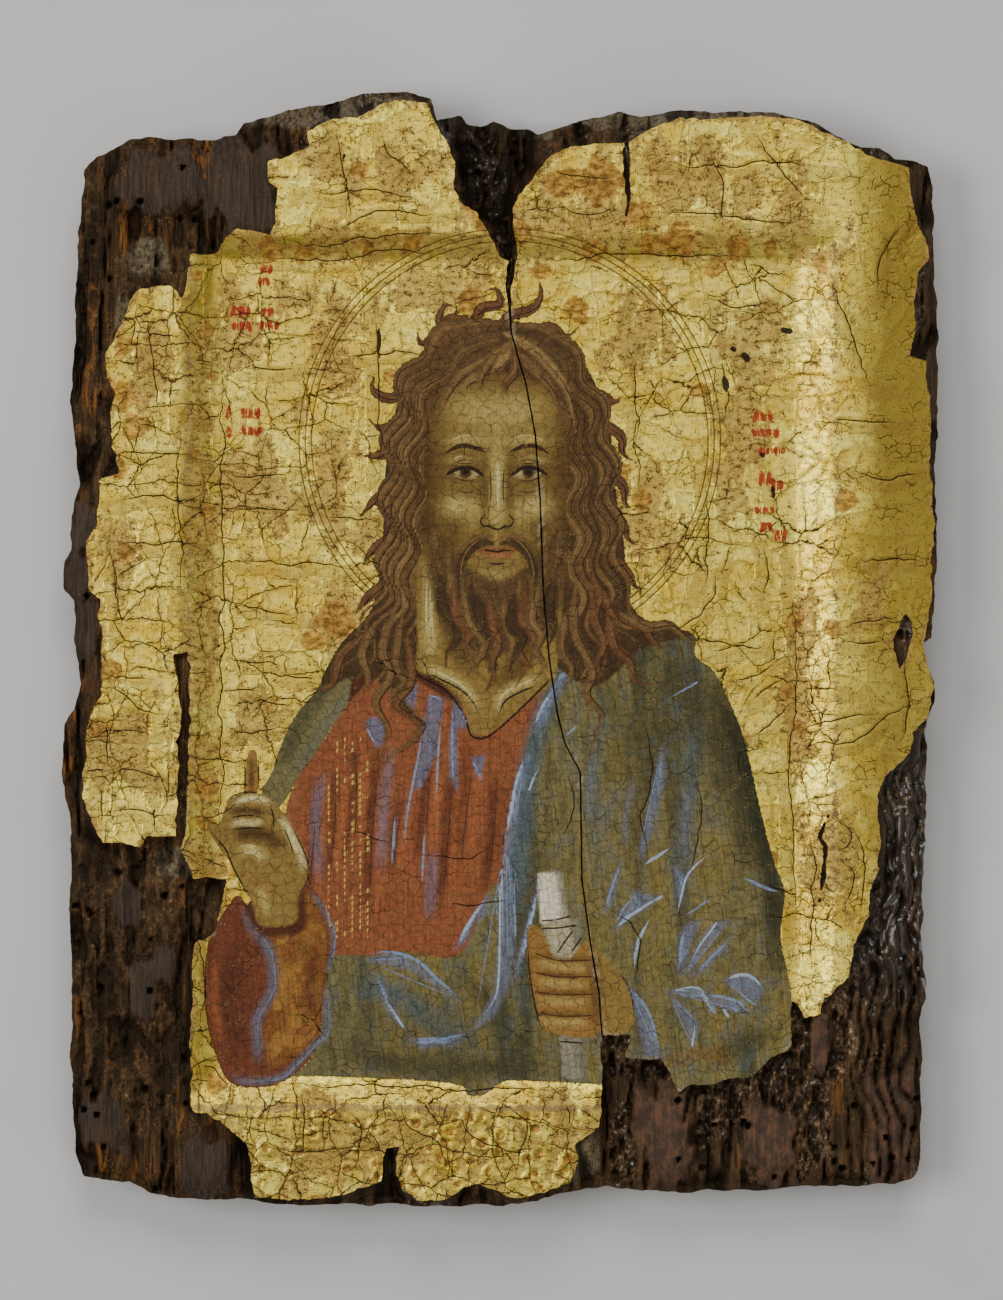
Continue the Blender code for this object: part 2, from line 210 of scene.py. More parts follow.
def boardRings(sideRows=3):
    # The rows of side faces are climbed from the foot to the upper edge
    bm = mergedCopy("wooden_board")
    taken = {face for face in bm.faces if max(vert.co.z for vert in face.verts) < 1e-6}
    row = {vert for face in taken for vert in face.verts}
    for _ in range(sideRows):
        faces = {face for vert in row for face in vert.link_faces} - taken
        taken |= faces
        row = {vert for face in faces for vert in face.verts} - row
        row = {vert for vert in row if any(face not in taken for face in vert.link_faces)}
    rings = ringsOf([edge for edge in bm.edges if sum(face in taken for face in edge.link_faces) == 1])
    bm.free()
    return rings


def rayTree(name):
    bm = mergedCopy(name)
    tree = BVHTree.FromBMesh(bm)
    bm.free()
    return tree


chartSettings = {"halfWidth": 102.0, "halfHeight": 128.0, "spread": 4}


def readHeights(name, step, upward):
    # Heights of a solid's under side, met from below, or upper side on a square lattice,
    # spread outwards over the gaps
    tree = rayTree(name)
    xs, ys = (np.arange(-chartSettings[side], chartSettings[side] + step, step)
              for side in ("halfWidth", "halfHeight"))
    start, direction = (-0.1, Vector((0, 0, 1))) if upward else (0.1, Vector((0, 0, -1)))
    heights = np.full((len(xs), len(ys)), np.nan)
    for i, x in enumerate(xs):
        for j, y in enumerate(ys):
            hit = tree.ray_cast(Vector((x * mm, y * mm, start)), direction)[0]
            if hit is not None:
                heights[i, j] = hit.z / mm
    for _ in range(int(chartSettings["spread"] / step)):
        around = np.stack([np.roll(heights, shift, axis) for axis in (0, 1) for shift in (-1, 1)])
        known = np.isfinite(around)
        count = known.sum(axis=0)
        mean = np.where(known, around, 0).sum(axis=0) / np.maximum(count, 1)
        heights = np.where(np.isnan(heights) & (count > 0), mean, heights)
    heights = np.where(np.isnan(heights), np.nanmean(heights), heights)
    return {"heights": heights, "low": (xs[0], ys[0]), "step": step}


def soften(chart, rounds):
    heights = chart["heights"]
    for _ in range(rounds):
        for axis in (0, 1):
            heights = 0.25 * np.roll(heights, 1, axis) + 0.5 * heights + 0.25 * np.roll(heights, -1, axis)
    return {**chart, "heights": heights}


def heightAt(chart, x, y):
    heights = chart["heights"]
    u, v = (np.clip((value - low) / chart["step"], 0, size - 1.001)
            for value, low, size in zip((x, y), chart["low"], heights.shape))
    i = u.astype(int)
    j = v.astype(int)
    return between(heights, i, j, u - i, v - j)


def placesOf(verts):
    return np.array([vert.co[:] for vert in verts]) / mm


def setPlaces(verts, places):
    for vert, place in zip(verts, (places * mm).tolist()):
        vert.co = place


def groundCover(x, y):
    # How far inside the gilded ground a place is
    return np.maximum(signedGap(x, y, leftRings), signedGap(x, y, rightRings))


def asPiece(name, bm):
    mesh = bpy.data.meshes.new(name)
    bm.to_mesh(mesh)
    bm.free()
    piece = bpy.data.objects.new(name, mesh)
    bpy.context.collection.objects.link(piece)
    return piece


def keep(mesh, name, values):
    # Writes a number, a vector or a colour for each vertex as a named attribute
    kind, socket = {1: ("FLOAT", "value"), 3: ("FLOAT_VECTOR", "vector"),
                    4: ("FLOAT_COLOR", "color")}[values.size // len(mesh.vertices)]
    layer = mesh.attributes.new(name, kind, "POINT")
    layer.data.foreach_set(socket, np.ascontiguousarray(values, np.float32).ravel())


def vertexPlaces(mesh):
    places = np.empty(len(mesh.vertices) * 3, np.float32)
    mesh.vertices.foreach_get("co", places)
    return places.reshape(-1, 3).astype(float) / mm


def finishMesh(mesh, places, crease):
    mesh.vertices.foreach_set("co", np.ascontiguousarray(places * mm, np.float32).ravel())
    mesh.update()
    mesh.shade_smooth()
    mesh.set_sharp_from_angle(angle=math.radians(crease))


print("outlines")
leftRings = plateRings("gesso_left")
rightRings = plateRings("gesso_right")
boardRing = boardRings()[:1]
print("  rings", [len(ring) for ring in leftRings + rightRings + boardRing])


# Node helpers, used for materials and for the crack lines that the mesh shares with them

def chained(operation):
    # A method that works one operation through all its values, two at a time
    def method(self, first, *others):
        for other in others:
            first = self.calc(operation, first, other)
        return first
    return method


class Nodes:
    # Shorthand for the nodes of one tree; a value is a number, a colour, a name or another output

    plus = chained("ADD")
    minus = chained("SUBTRACT")
    times = chained("MULTIPLY")
    most = chained("MAXIMUM")

    def __init__(self, tree):
        self.tree = tree

    def fill(self, node, values):
        for key, value in values.items() if isinstance(values, dict) else enumerate(values):
            if isinstance(value, bpy.types.NodeSocket):
                self.tree.links.new(value, node.inputs[key])
            else:
                node.inputs[key].default_value = value

    def add(self, kind, values=(), output=0, **settings):
        # The chosen output of a new node, or the node itself
        made = self.tree.nodes.new(kind)
        for name, value in settings.items():
            setattr(made, name, value)
        self.fill(made, values)
        return made if output is None else made.outputs[output]

    def calc(self, operation, *values, clamp=False):
        return self.add("ShaderNodeMath", values, operation=operation, use_clamp=clamp)

    def rest(self, *values):
        return self.minus(1.0, self.times(*values))

    def vector(self, operation, *values):
        output = "Value" if operation in ("LENGTH", "DOT_PRODUCT", "DISTANCE") else "Vector"
        return self.add("ShaderNodeVectorMath", values, output, operation=operation)

    def scaled(self, vector, factor):
        return self.add("ShaderNodeVectorMath", {0: vector, "Scale": factor}, operation="SCALE")

    def ramp(self, value, low, high, lowOut=0.0, highOut=1.0):
        # Soft step from lowOut at low to highOut at high
        return self.add("ShaderNodeMapRange", (value, low, high, lowOut, highOut),
                        interpolation_type="SMOOTHSTEP")

    def blend(self, share, first, second):
        return self.add("ShaderNodeMix", {0: share, 6: first, 7: second}, 2, data_type="RGBA",
                        clamp_factor=True)

    def coats(self, colour, *coats):
        # Lays colours over one another, each with its mask and strength
        for mask, strength, coat in coats:
            colour = self.blend(self.times(mask, strength), colour, coat)
        return colour

    def cloud(self, place, size, detail=2.0, roughness=0.5, output=0):
        # Random cloud; size is a bump's width in mm, or its widths along X, Y and in a solid cloud Z
        sizes = size if isinstance(size, tuple) else (size, size)
        scale = tuple(1 / width for width in sizes) + (0,) * (3 - len(sizes))
        values = {"Vector": self.vector("MULTIPLY", place, scale), "Scale": 1.0, "Detail": detail,
                  "Roughness": roughness}
        return self.add("ShaderNodeTexNoise", values, output, noise_dimensions=f"{len(sizes)}D")

    def shaken(self, place, source, size, reach):
        # A place moved about by a cloud of random colours
        drift = self.vector("SUBTRACT", self.cloud(source, size, output=1), (0.5, 0.5, 0.5))
        return self.vector("ADD", place, self.scaled(drift, reach))

    def attribute(self, name, output="Fac"):
        return self.add("ShaderNodeAttribute", output=output, attribute_name=name)

    def channels(self, name):
        # The four numbers that a mesh keeps as one colour
        kept = self.attribute(name, None).outputs
        return *self.add("ShaderNodeSeparateColor", (kept["Color"],), None).outputs, kept["Alpha"]

    def bump(self, height):
        return self.add("ShaderNodeBump", {"Strength": 1.0, "Distance": mm, "Height": height})


def pigment(red, green, blue, alpha=1.0):
    # Linear colour from the 0 to 255 values that a colour picker shows
    return tuple((value / 255) ** 2.2 for value in (red, green, blue)) + (alpha,)


def mixTones(first, second, share):
    return tuple(a * (1 - share) + b * share for a, b in zip(first, second))


# Cracks

crackSettings = {
    # size of each random drift and its reach
    "bends": ((11.0, 4.8), (1.3, 1.0)),
    # width and height of the flakes, size of the cloud that opens their cracks, and widest half width
    "nets": (((14.0, 6.2), 17.0, 0.10), ((7.5, 15.0), 13.0, 0.08)),
    "opening": (0.84, 1.12),
    "closed": -0.25,
    "hair": (2.7, 2.3),
}


def crackLines(nodes, place, size):
    # Distance in mm to the border between random cells, and a random colour for each cell
    scale = (1 / size[0], 1 / size[1], 0)
    grid = nodes.vector("MULTIPLY", place, scale)
    first, second = (nodes.add("ShaderNodeTexVoronoi", {"Vector": grid, "Scale": 1.0}, None,
                               voronoi_dimensions="2D", feature=feature).outputs for feature in ("F1", "F2"))
    across = nodes.vector("NORMALIZE", nodes.vector("SUBTRACT", second["Position"], first["Position"]))
    middle = nodes.scaled(nodes.vector("ADD", second["Position"], first["Position"]), 0.5)
    away = nodes.vector("SUBTRACT", grid, middle)
    reach = nodes.calc("ABSOLUTE", nodes.vector("DOT_PRODUCT", away, across))
    tilt = nodes.vector("LENGTH", nodes.vector("MULTIPLY", across, scale))
    return nodes.calc("DIVIDE", reach, tilt), first["Color"]


def crackNet(nodes, place, openness):
    # Depth into the open cracks (negative inside them) and the tone of each flake
    bent = place
    s = crackSettings
    for size, reach in s["bends"]:
        bent = nodes.shaken(bent, place, size, reach)
    gaps = []
    tones = []
    for size, cloud, half in s["nets"]:
        gap, tone = crackLines(nodes, bent, size)
        presence = nodes.plus(nodes.cloud(place, cloud), openness)
        gaps.append(nodes.minus(gap, nodes.ramp(presence, *s["opening"], s["closed"], half)))
        tones.append(tone)
    return nodes.calc("MINIMUM", *gaps), tones[0]


def readCracks(piece):
    # Lets geometry nodes work out the same crack lines at the vertices of a piece
    tree = bpy.data.node_groups.new("crackReader", "GeometryNodeTree")
    for side in ("INPUT", "OUTPUT"):
        tree.interface.new_socket("Geometry", in_out=side, socket_type="NodeSocketGeometry")
    nodes = Nodes(tree)
    place = nodes.scaled(nodes.add("GeometryNodeInputPosition"), 1 / mm)
    openness = nodes.add("GeometryNodeInputNamedAttribute", {"Name": "openness"}, data_type="FLOAT")
    stored = nodes.add("GeometryNodeStoreNamedAttribute", {
        "Geometry": nodes.add("NodeGroupInput"), "Name": "crackGap",
        "Value": crackNet(nodes, place, openness)[0]}, data_type="FLOAT")
    nodes.add("NodeGroupOutput", (stored,), None)
    reader = piece.modifiers.new("crackReader", "NODES")
    reader.node_group = tree
    shown = piece.evaluated_get(bpy.context.evaluated_depsgraph_get())
    values = np.empty(len(shown.data.vertices), np.float32)
    shown.data.attributes["crackGap"].data.foreach_get("value", values)
    piece.modifiers.remove(reader)
    bpy.data.node_groups.remove(tree)
    return values.astype(float)


# Plates of gilded ground: a fine sheet cut to the CAD outline, drawn up to its thickness

plateSettings = {
    "gesso_left": {"step": 0.485, "rings": leftRings, "others": rightRings, "seed": 3},
    "gesso_right": {"step": 0.43, "rings": rightRings, "others": leftRings, "seed": 8},
}
groundThickness = 1.2
edgeWobble = 0.5
groundCrease = 55


def raggedGap(x, y, rings, others, seed):
    # Outline distance with a finely broken edge, kept small where the other plate is close
    gap = signedGap(x, y, rings)
    away = -signedGap(x, y, others)
    room = np.clip(away * 0.35, 0.12, 1.0)
    wobble = field(x, y, 1.7, seed=seed, octaves=3) - 0.5
    drawnIn = 0.3 * np.clip(away, 0, 1) * softStep(2.0, 1.0, away)
    return gap + 2 * edgeWobble * wobble * room + drawnIn


def outward(x, y, rings, step=0.05):
    # Unit direction towards the outside of the rings
    dx = signedGap(x + step, y, rings) - signedGap(x - step, y, rings)
    dy = signedGap(x, y + step, rings) - signedGap(x, y - step, rings)
    length = np.maximum(np.hypot(dx, dy), 1e-9)
    return -dx / length, -dy / length


def gridOver(outline, margin, step):
    # Square lattice of faces over an outline
    low = outline.min(axis=0) - margin
    high = outline.max(axis=0) + margin
    count = np.ceil((high - low) / step).astype(int)
    shape = Matrix.Translation((*((low + high) / 2 * mm), 0)) @ Matrix.Diagonal((*(count * step * mm), 1, 1))
    bm = bmesh.new()
    bmesh.ops.create_grid(bm, x_segments=int(count[0]), y_segments=int(count[1]), size=0.5, matrix=shape)
    return bm


def trim(bm, rings, step, gapAt):
    # Takes away what is outside the outline, then draws the edge of the rest onto it
    spare = 0.35 * step
    pull = 0.9
    gap = gapAt(*placesOf(bm.verts).T[:2])
    bmesh.ops.delete(bm, geom=[vert for vert, g in zip(bm.verts, gap) if g < -spare], context="VERTS")
    bmesh.ops.delete(bm, geom=[edge for edge in bm.edges if edge.is_wire], context="EDGES")
    bmesh.ops.delete(bm, geom=[vert for vert in bm.verts if not vert.link_faces], context="VERTS")
    rim = [vert for vert in bm.verts if vert.is_boundary]
    places = placesOf(rim)
    for _ in range(2):
        px, py = places.T[:2]
        gap = gapAt(px, py)
        dx, dy = outward(px, py, rings)
        places[:, 0] += dx * gap * pull
        places[:, 1] += dy * gap * pull
    setPlaces(rim, places)


def thinned(bm, keepShare=0.05):
    # The hidden underside as a much coarser sheet with the same edge
    mesh = bpy.data.meshes.new("underside")
    bm.to_mesh(mesh)
    helper = bpy.data.objects.new("underside", mesh)
    bpy.context.collection.objects.link(helper)
    inner = helper.vertex_groups.new(name="inner")
    inner.add([vert.index for vert in bm.verts if not vert.is_boundary], 1.0, "REPLACE")
    thinner = helper.modifiers.new("thinner", "DECIMATE")
    thinner.ratio = keepShare
    thinner.vertex_group = "inner"
    result = bpy.data.meshes.new_from_object(helper.evaluated_get(bpy.context.evaluated_depsgraph_get()))
    bpy.data.objects.remove(helper)
    return result


def buildPlate(name):
    s = plateSettings[name]
    bm = gridOver(np.vstack(s["rings"]), 1, s["step"])
    trim(bm, s["rings"], s["step"], lambda px, py: raggedGap(px, py, s["rings"], s["others"], s["seed"]))
    chart = soften(readHeights(name, 0.8, upward=True), 1)
    places = placesOf(bm.verts)
    places[:, 2] = heightAt(chart, *places.T[:2])
    setPlaces(bm.verts, places)
    underside = thinned(bm)
    under = bm.faces[:]
    made = bmesh.ops.extrude_face_region(bm, geom=under)["geom"]
    upper = {item for item in made if isinstance(item, bmesh.types.BMVert)}
    bmesh.ops.translate(bm, verts=list(upper), vec=(0, 0, groundThickness * mm))
    sides = [edge for edge in bm.edges if (edge.verts[0] in upper) != (edge.verts[1] in upper)]
    bmesh.ops.subdivide_edges(bm, edges=sides, cuts=1)
    bmesh.ops.delete(bm, geom=under, context="FACES")
    bm.from_mesh(underside)
    bmesh.ops.remove_doubles(bm, verts=[vert for vert in bm.verts if vert.is_boundary], dist=1e-7)
    bmesh.ops.recalc_face_normals(bm, faces=bm.faces)
    bpy.data.meshes.remove(underside)
    piece = asPiece(name.replace("gesso", "gilded_ground"), bm)
    px, py, pz = vertexPlaces(piece.data).T
    keep(piece.data, "rim", pz - heightAt(chart, px, py) < 0.75 * groundThickness)
    return piece


print("plates")
plates = {name: buildPlate(name) for name in plateSettings}
plateSpots = {name: vertexPlaces(plate.data) for name, plate in plates.items()}
x = np.concatenate([spots[:, 0] for spots in plateSpots.values()])
y = np.concatenate([spots[:, 1] for spots in plateSpots.values()])

# Where nothing is painted or drawn: far outside the figure, and far from a line that has no width
noFigure = -farGap
noLine = (farGap, farGap, -0.5)

# What the brushes write on, one entry for each vertex of both plates
canvas = {
    "paint": np.zeros((len(x), 4)),                       # colour, and how streaky the brushwork is
    "figure": np.full(len(x), noFigure),                  # distance inside the painted figure
    "drawn": np.tile(noLine, (len(x), 1)),                # distance, side offset and half width of a line
    "ink": np.zeros((len(x), 4)),                         # colour of that line
    "brush": np.stack([x, y, np.zeros(len(x))], axis=1),  # across and along the brush strokes
    # the fourth state number marks the smooth leaf of the right border, which is also painted darker there as
    # painted shade
    "state": np.zeros((len(x), 4)),                       # worn, stained, rubbed, smooth
    "split": np.tile(noLine, (len(x), 1)),                # the long cracks, as drawn
}


# Brushes

def within(points, margin):
    low = points.min(axis=0) - margin
    high = points.max(axis=0) + margin
    return np.nonzero((x > low[0]) & (x < high[0]) & (y > low[1]) & (y < high[1]))[0]


def lay(spots, share, colour, streaks=None):
    # Mixes a colour into the paint, and where it is given how streaky the brushwork is
    value = np.array(colour[:3] if streaks is None else (*colour[:3], streaks))
    share = share[:, None]
    canvas["paint"][spots, :len(value)] = canvas["paint"][spots, :len(value)] * (1 - share) + value * share


def tint(spots, share, colour):
    # Moves the paint part of the way towards a colour
    body = canvas["paint"][spots, :3]
    canvas["paint"][spots, :3] = body + (np.array(colour[:3]) - body) * share[:, None]


def fillArea(points, colour, streaks=0.4, soft=0.25, lean=None):
    # A flat area with a soft or crisp edge; lean turns its brushwork, as sideways mm for each mm up
    loop = flowing(points, closed=True)
    spots = within(loop, farGap)
    gap = signedGap(x[spots], y[spots], [loop])
    lay(spots, softStep(-soft, soft, gap), colour, streaks)
    canvas["figure"][spots] = np.maximum(canvas["figure"][spots], gap)
    inside = spots[gap > 0]
    canvas["drawn"][inside] = noLine
    if lean is not None:
        canvas["brush"][inside, 0] = x[inside] + lean * y[inside]
        canvas["brush"][inside, 1] = y[inside] - lean * x[inside]
    return inside


def glaze(points, width, colour, strength, fade=0.25):
    # A broad soft stroke that thins out at both ends
    run = flowing(points)
    spots = within(run, width)
    gap, _, along = nearRun(x[spots], y[spots], run, width)
    ends = softStep(0, fade, along) * softStep(0, fade, 1 - along) if fade else 1.0
    lay(spots, strength * (1 - softStep(0.15 * width, width, gap)) * ends, colour)


tapers = {
    "both": lambda along: softStep(0, 0.35, along) * softStep(0, 0.35, 1 - along),
    "end": lambda along: softStep(0, 0.9, along),
    "even": lambda along: softStep(0, 0.08, along) * softStep(0, 0.08, 1 - along),
}


lineReach = 3.0


def drawLine(points, width, colour=None, taper="both", layer="drawn"):
    # A crisp line, kept as distances so that it stays sharp between the vertices
    run = flowing(points, step=0.6) if layer == "drawn" else np.array(points, float)
    spots = within(run, lineReach)
    gap, offset, along = nearRun(x[spots], y[spots], run, lineReach)
    half = width / 2 * tapers[taper](along) - 0.05
    old = canvas[layer][spots, 0] - canvas[layer][spots, 2]
    new = gap - half
    take = (new < 0) | ((new < old) & (old > 0))
    spots = spots[take]
    canvas[layer][spots] = np.stack([gap, offset, half], axis=1)[take]
    if colour:
        canvas["ink"][spots] = colour


def drawLock(points, width, colour, turn):
    # A lock of hair: rounded across, streaked along its own length, thin at its tip
    run = flowing(points, step=0.8)
    spots = within(run, width)
    gap, offset, along = nearRun(x[spots], y[spots], run, width)
    length = np.hypot(*np.diff(run, axis=0).T).sum()
    swell = softStep(-0.15, 0.25, along) * (0.12 + 0.88 * softStep(0, 0.55, 1 - along))
    half = width / 2 * swell
    inner = half - gap
    rounded = 1.06 - 0.44 * np.clip(gap / np.maximum(half, 0.1), 0, 1) ** 2
    share = softStep(-0.25, 0.25, inner)[:, None]
    tone = np.array(colour[:3]) * rounded[:, None]
    canvas["paint"][spots, :3] = canvas["paint"][spots, :3] * (1 - share) + tone * share
    canvas["figure"][spots] = np.maximum(canvas["figure"][spots], inner)
    inside = inner > 0
    spots = spots[inside]
    canvas["paint"][spots, 3] = 1.0
    canvas["drawn"][spots] = noLine
    canvas["brush"][spots, 0] = offset[inside] + turn * 7.3
    canvas["brush"][spots, 1] = along[inside] * length + turn * 3.1


def sideways(run):
    # Unit directions to the left of a run, one for each of its points
    ahead = np.gradient(run, axis=0)
    ahead /= np.maximum(np.hypot(*ahead.T), 1e-6)[:, None]
    return np.stack([-ahead[:, 1], ahead[:, 0]], axis=1)


def waved(start, end, share, height, pace, phase):
    # A path between two guides, swaying from side to side
    path = flowing(start * (1 - share) + end * share, step=2.5)
    travelled = np.concatenate([[0], np.cumsum(np.hypot(*np.diff(path, axis=0).T))])
    grow = softStep(4, 25, travelled)
    sway = height * grow * np.sin(travelled / pace * 2 * math.pi + phase)
    return path + sideways(path) * sway[:, None]


# Palette
hairDark = pigment(72, 53, 32)
hairWarm = pigment(116, 88, 52)
hairRed = pigment(110, 75, 46)
hairPale = pigment(142, 111, 66)
hairLine = pigment(60, 42, 25)
fleshDeep = pigment(84, 61, 29)
fleshMid = pigment(140, 113, 56)
fleshWarm = pigment(150, 110, 54)
fleshLight = pigment(186, 164, 92)
fleshHigh = pigment(214, 198, 134)
lineDark = pigment(40, 26, 15)
tunicRed = pigment(141, 82, 51)
tunicDark = pigment(84, 44, 28)
tunicLight = pigment(176, 102, 58)
mantleOlive = pigment(116, 107, 67)
mantleDark = pigment(66, 65, 43)
mantleGold = pigment(132, 114, 58)
mantleBlue = pigment(80, 98, 104)
blueLight = pigment(128, 146, 172)
blueWhite = pigment(168, 184, 204)
blueGrey = pigment(104, 108, 126)
rustBrown = pigment(134, 86, 40)
creamWhite = pigment(232, 222, 190)
markRed = pigment(164, 50, 34)

dress = {
    "under": (-32, -4, -20, 3, 0, 5, 17, 3, 13, -20, -10, -32, -32, -20),
    "tunic": (-35, -13.5, -40.5, -22, -46.5, -31, -48.5, -41, -46.5, -52, -45, -63, -37, -70, -22.5, -69, -10,
        -70, -5, -62, -2, -53.5, 0.5, -52, 2, -42, 4, -29.5, 7, -19.5, 12.5, -5, 4.5, -9, 0, -15, -6.5, -14,
        -15.5, -9, -22.5, -5, -29, -7),
    "mantleLeft": (-35.5, -1.5, -41.5, -9.5, -46, -15, -49, -21, -51.5, -28, -53.5, -32, -50, -35.5, -46.5,
        -31, -41.5, -23.5, -35.5, -14.5, -27.5, -7, -26, -1.5),
    "mantleRight": (31.5, 3.5, 43, 3.5, 44, -1.5, 48, -5, 51.5, -11.5, 54.5, -19, 56.5, -27, 59, -38, 61.5,
        -47.5, 64, -55, 63, -64, 64.5, -72, 65.5, -79.5, 65.5, -92.5, 54, -100, 31.5, -100, 24, -98, 4.5, -97,
        0, -97.5, -3.5, -100, -7.5, -100, -11.5, -97.5, -45, -96, -53.5, -98.5, -45, -94.5, -41, -88.5, -39,
        -74, -37.5, -69, -29, -69, -22.5, -68, -10, -69, -5.5, -62, -2, -53.5, 0.5, -52, 2, -42, 4, -29.5, 7,
        -19.5, 12.5, -4.5, 17, 2),
    "sleeve": (-61, -57.5, -63, -60.5, -65.5, -65.5, -66.5, -74, -66, -83.5, -63.5, -92.5, -60.5, -97.5,
        -54.5, -98.5, -49.5, -97.5, -45, -94.5, -41, -88.5, -39, -74, -37.5, -66.5, -40, -58, -43, -53.5, -47,
        -61, -53.5, -63, -58.5, -55.5),
    "cuff": (-52.7, -61.7, -48.8, -56.3, -43, -54.8, -40, -58.7, -38.5, -65, -39.5, -73, -40.5, -87, -46,
        -92.5, -52, -94.5, -53.4, -88.9, -51.7, -79.2, -50.5, -73.8, -51.2, -68),
    "neck": (-16, 24, -18.6, 0, -19.6, -4.4, -14.7, -6.6, -9.4, -11.2, -7.4, -15.1, -6.5, -19, -2.6, -19, 1.8,
        -15.6, 6.7, -11.7, 12.5, -5.5, 14, 14, 13, 24),
}
# Folds of the mantle: facets of blue grey, and the bright strokes along their edges;
# then the same for the lights of the tunic
foldFacets = (
    (39.8, -71.9, 40.3, -65.7, 41.6, -62.1, 45.2, -60.8, 42.9, -66.2, 40.6, -73.4), (41.7, -73.4, 43.1, -69.3,
    45.7, -64.1, 48.3, -61.6, 51.4, -61, 48.3, -65.2, 45.2, -68.8), (43.6, -73.7, 46.7, -69.3, 52.1, -64.7,
    50.3, -67.5, 46.7, -71.4), (50.3, -74.6, 52.7, -73.4, 56, -73.4, 58.6, -75, 59.5, -76.8, 57.6, -79.6,
    55.5, -78.6, 53.4, -76.5), (37.2, -77, 43.6, -76, 49.3, -78.6, 53.4, -79.6, 56.5, -81.7, 51.4, -81.2,
    44.7, -78.1), (38, -77.6, 42.1, -81.2, 44.7, -84.3, 44.4, -86.8, 43.1, -89.2, 42.1, -85.3, 40, -81.2),
    (28.7, -75.5, 31.8, -79.1, 33.8, -82.7, 35.1, -87.4, 36.1, -92, 32.8, -91.5, 30.2, -81), (25.6, -63.4,
    27.4, -60, 30.2, -56.9, 35.1, -56.4, 32.3, -58), (39.3, -48.9, 42, -51.1, 41.2, -54.3, 39.8, -57.2, 39.5,
    -52.3), (30, -54.5, 36.1, -55.7, 31.7, -58.7, 27.3, -60.6, 29.3, -57.2), (23.4, -59.2, 24.7, -53.8, 27.3,
    -47.5, 26.1, -53.8, 25.4, -57.2), (36.4, -22.1, 37.3, -27, 35.4, -36, 32.2, -47, 31.2, -46, 33.4, -36, 35,
    -28), (1.3, -41.8, 3.4, -42.1, 2, -50.6, 3.3, -54.5, 3, -60, 3.3, -66.4, 1.8, -75.5, -1.1, -82.3, -6,
    -85.7, -1.1, -76.9, -0.1, -62.8), (8.2, -53.5, 8.7, -55, 6.9, -61.8, 4.3, -72.5, 2.8, -75.5, 3.8, -69.6,
    5.7, -62.8), (-30.3, -69.9, -25.5, -68.4, -20.6, -69.6, -15.7, -73, -8.9, -79.1, -14.7, -75.5, -20.6,
    -72), (-28.1, -73, -26.9, -74.5, -25, -78.9, -21.9, -84.7, -24, -83.3, -26.2, -79.4), (-20.3, -87.6,
    -17.7, -88.4, -11.8, -87.3, -7.4, -86.4, -10.8, -88.9, -17.7, -89.8), (-9.9, -67.4, -7.9, -62.8, -2.6,
    -55, -2.6, -59.4, -6, -61.8, -7.9, -65.7), (5.7, -23.4, 4, -28.7, 3.1, -33.6, 1.3, -42.4, 2.9, -42.4, 4.6,
    -34.6, 7, -23.9), (7.5, -17.5, 11.6, -9, 14, -5.4, 17, -4.6, 13, -9.5, 10, -17),
)
foldStrokes = (
    (40.2, -72.5, 40.8, -66, 42, -62.2), (42, -72.9, 44.5, -67.4, 48.3, -62), (43.9, -73.2, 47.4, -69.4, 52.1,
    -64.9), (50.3, -74.6, 53.4, -73.3, 56.5, -73.7, 59.5, -76.5), (50.6, -75, 53.4, -76.8, 56, -79.1, 57.1,
    -79.7), (37.2, -77.1, 43.1, -76.1, 45.4, -77, 47.3, -81.9), (46.2, -77.6, 50.3, -78.3, 53.9, -79.6, 56,
    -82.2), (43.6, -83.2, 43.7, -85.8, 43.2, -88.9), (28.7, -75.5, 31.8, -79.1, 33.8, -82.7, 35.1, -87.4,
    36.1, -92), (25.6, -63.4, 29.2, -60, 34.9, -56.4), (39, -61.3, 43.1, -59, 46.5, -56.7), (48.1, -45.5,
    44.4, -48.2, 42, -51.1, 41, -54.3, 39.5, -61.1), (53.7, -51.6, 55.6, -51.8, 60, -53.8, 63.6, -54.8),
    (27.3, -60.6, 31.7, -58.2, 36, -55.8), (23.5, -59.2, 24.9, -54.3, 27.2, -47.7), (31.7, -48.9, 38.6,
    -44.5), (36.4, -11.9, 43.9, -7.7), (1.4, -41.8, 0.1, -54.5, -0.1, -65.7, -0.6, -76.4, -2.6, -80.8, -6.5,
    -85.4), (-30.6, -69.6, -26.9, -68.1, -23, -68.4, -18.6, -70.1, -13.8, -74.5, -7.9, -79.4), (-27.9, -73,
    -25.5, -78.9, -22, -84.7), (-20.3, -87.6, -17.7, -88.6, -11.8, -87.4, -7.4, -86.4), (-9.8, -67.3, -7.7,
    -62.8, -2.7, -55.1), (31.5, -54, 28.1, -57.9, 26.7, -60.4), (11.6, -9.2, 9.1, -13.6, 7.6, -17.5), (13,
    -7.5, 14, -5.8, 16.9, -4.8), (9.6, -25.8, 7.9, -28.2, 6.7, -31.2), (14.6, -19.6, 17.5, -17.1), (5.7,
    -23.4, 3.8, -29.2, 2.9, -33.6, 1.2, -43.3), (4, -45, 3.2, -54, 3.4, -64), (8.6, -54, 7, -61, 4.6, -71),
    (46.8, -79.8, 48.6, -82.2), (49.2, -79.8, 51, -82.2), (51.6, -79.6, 53.4, -82), (34, -60, 31, -66, 30,
    -73),
)
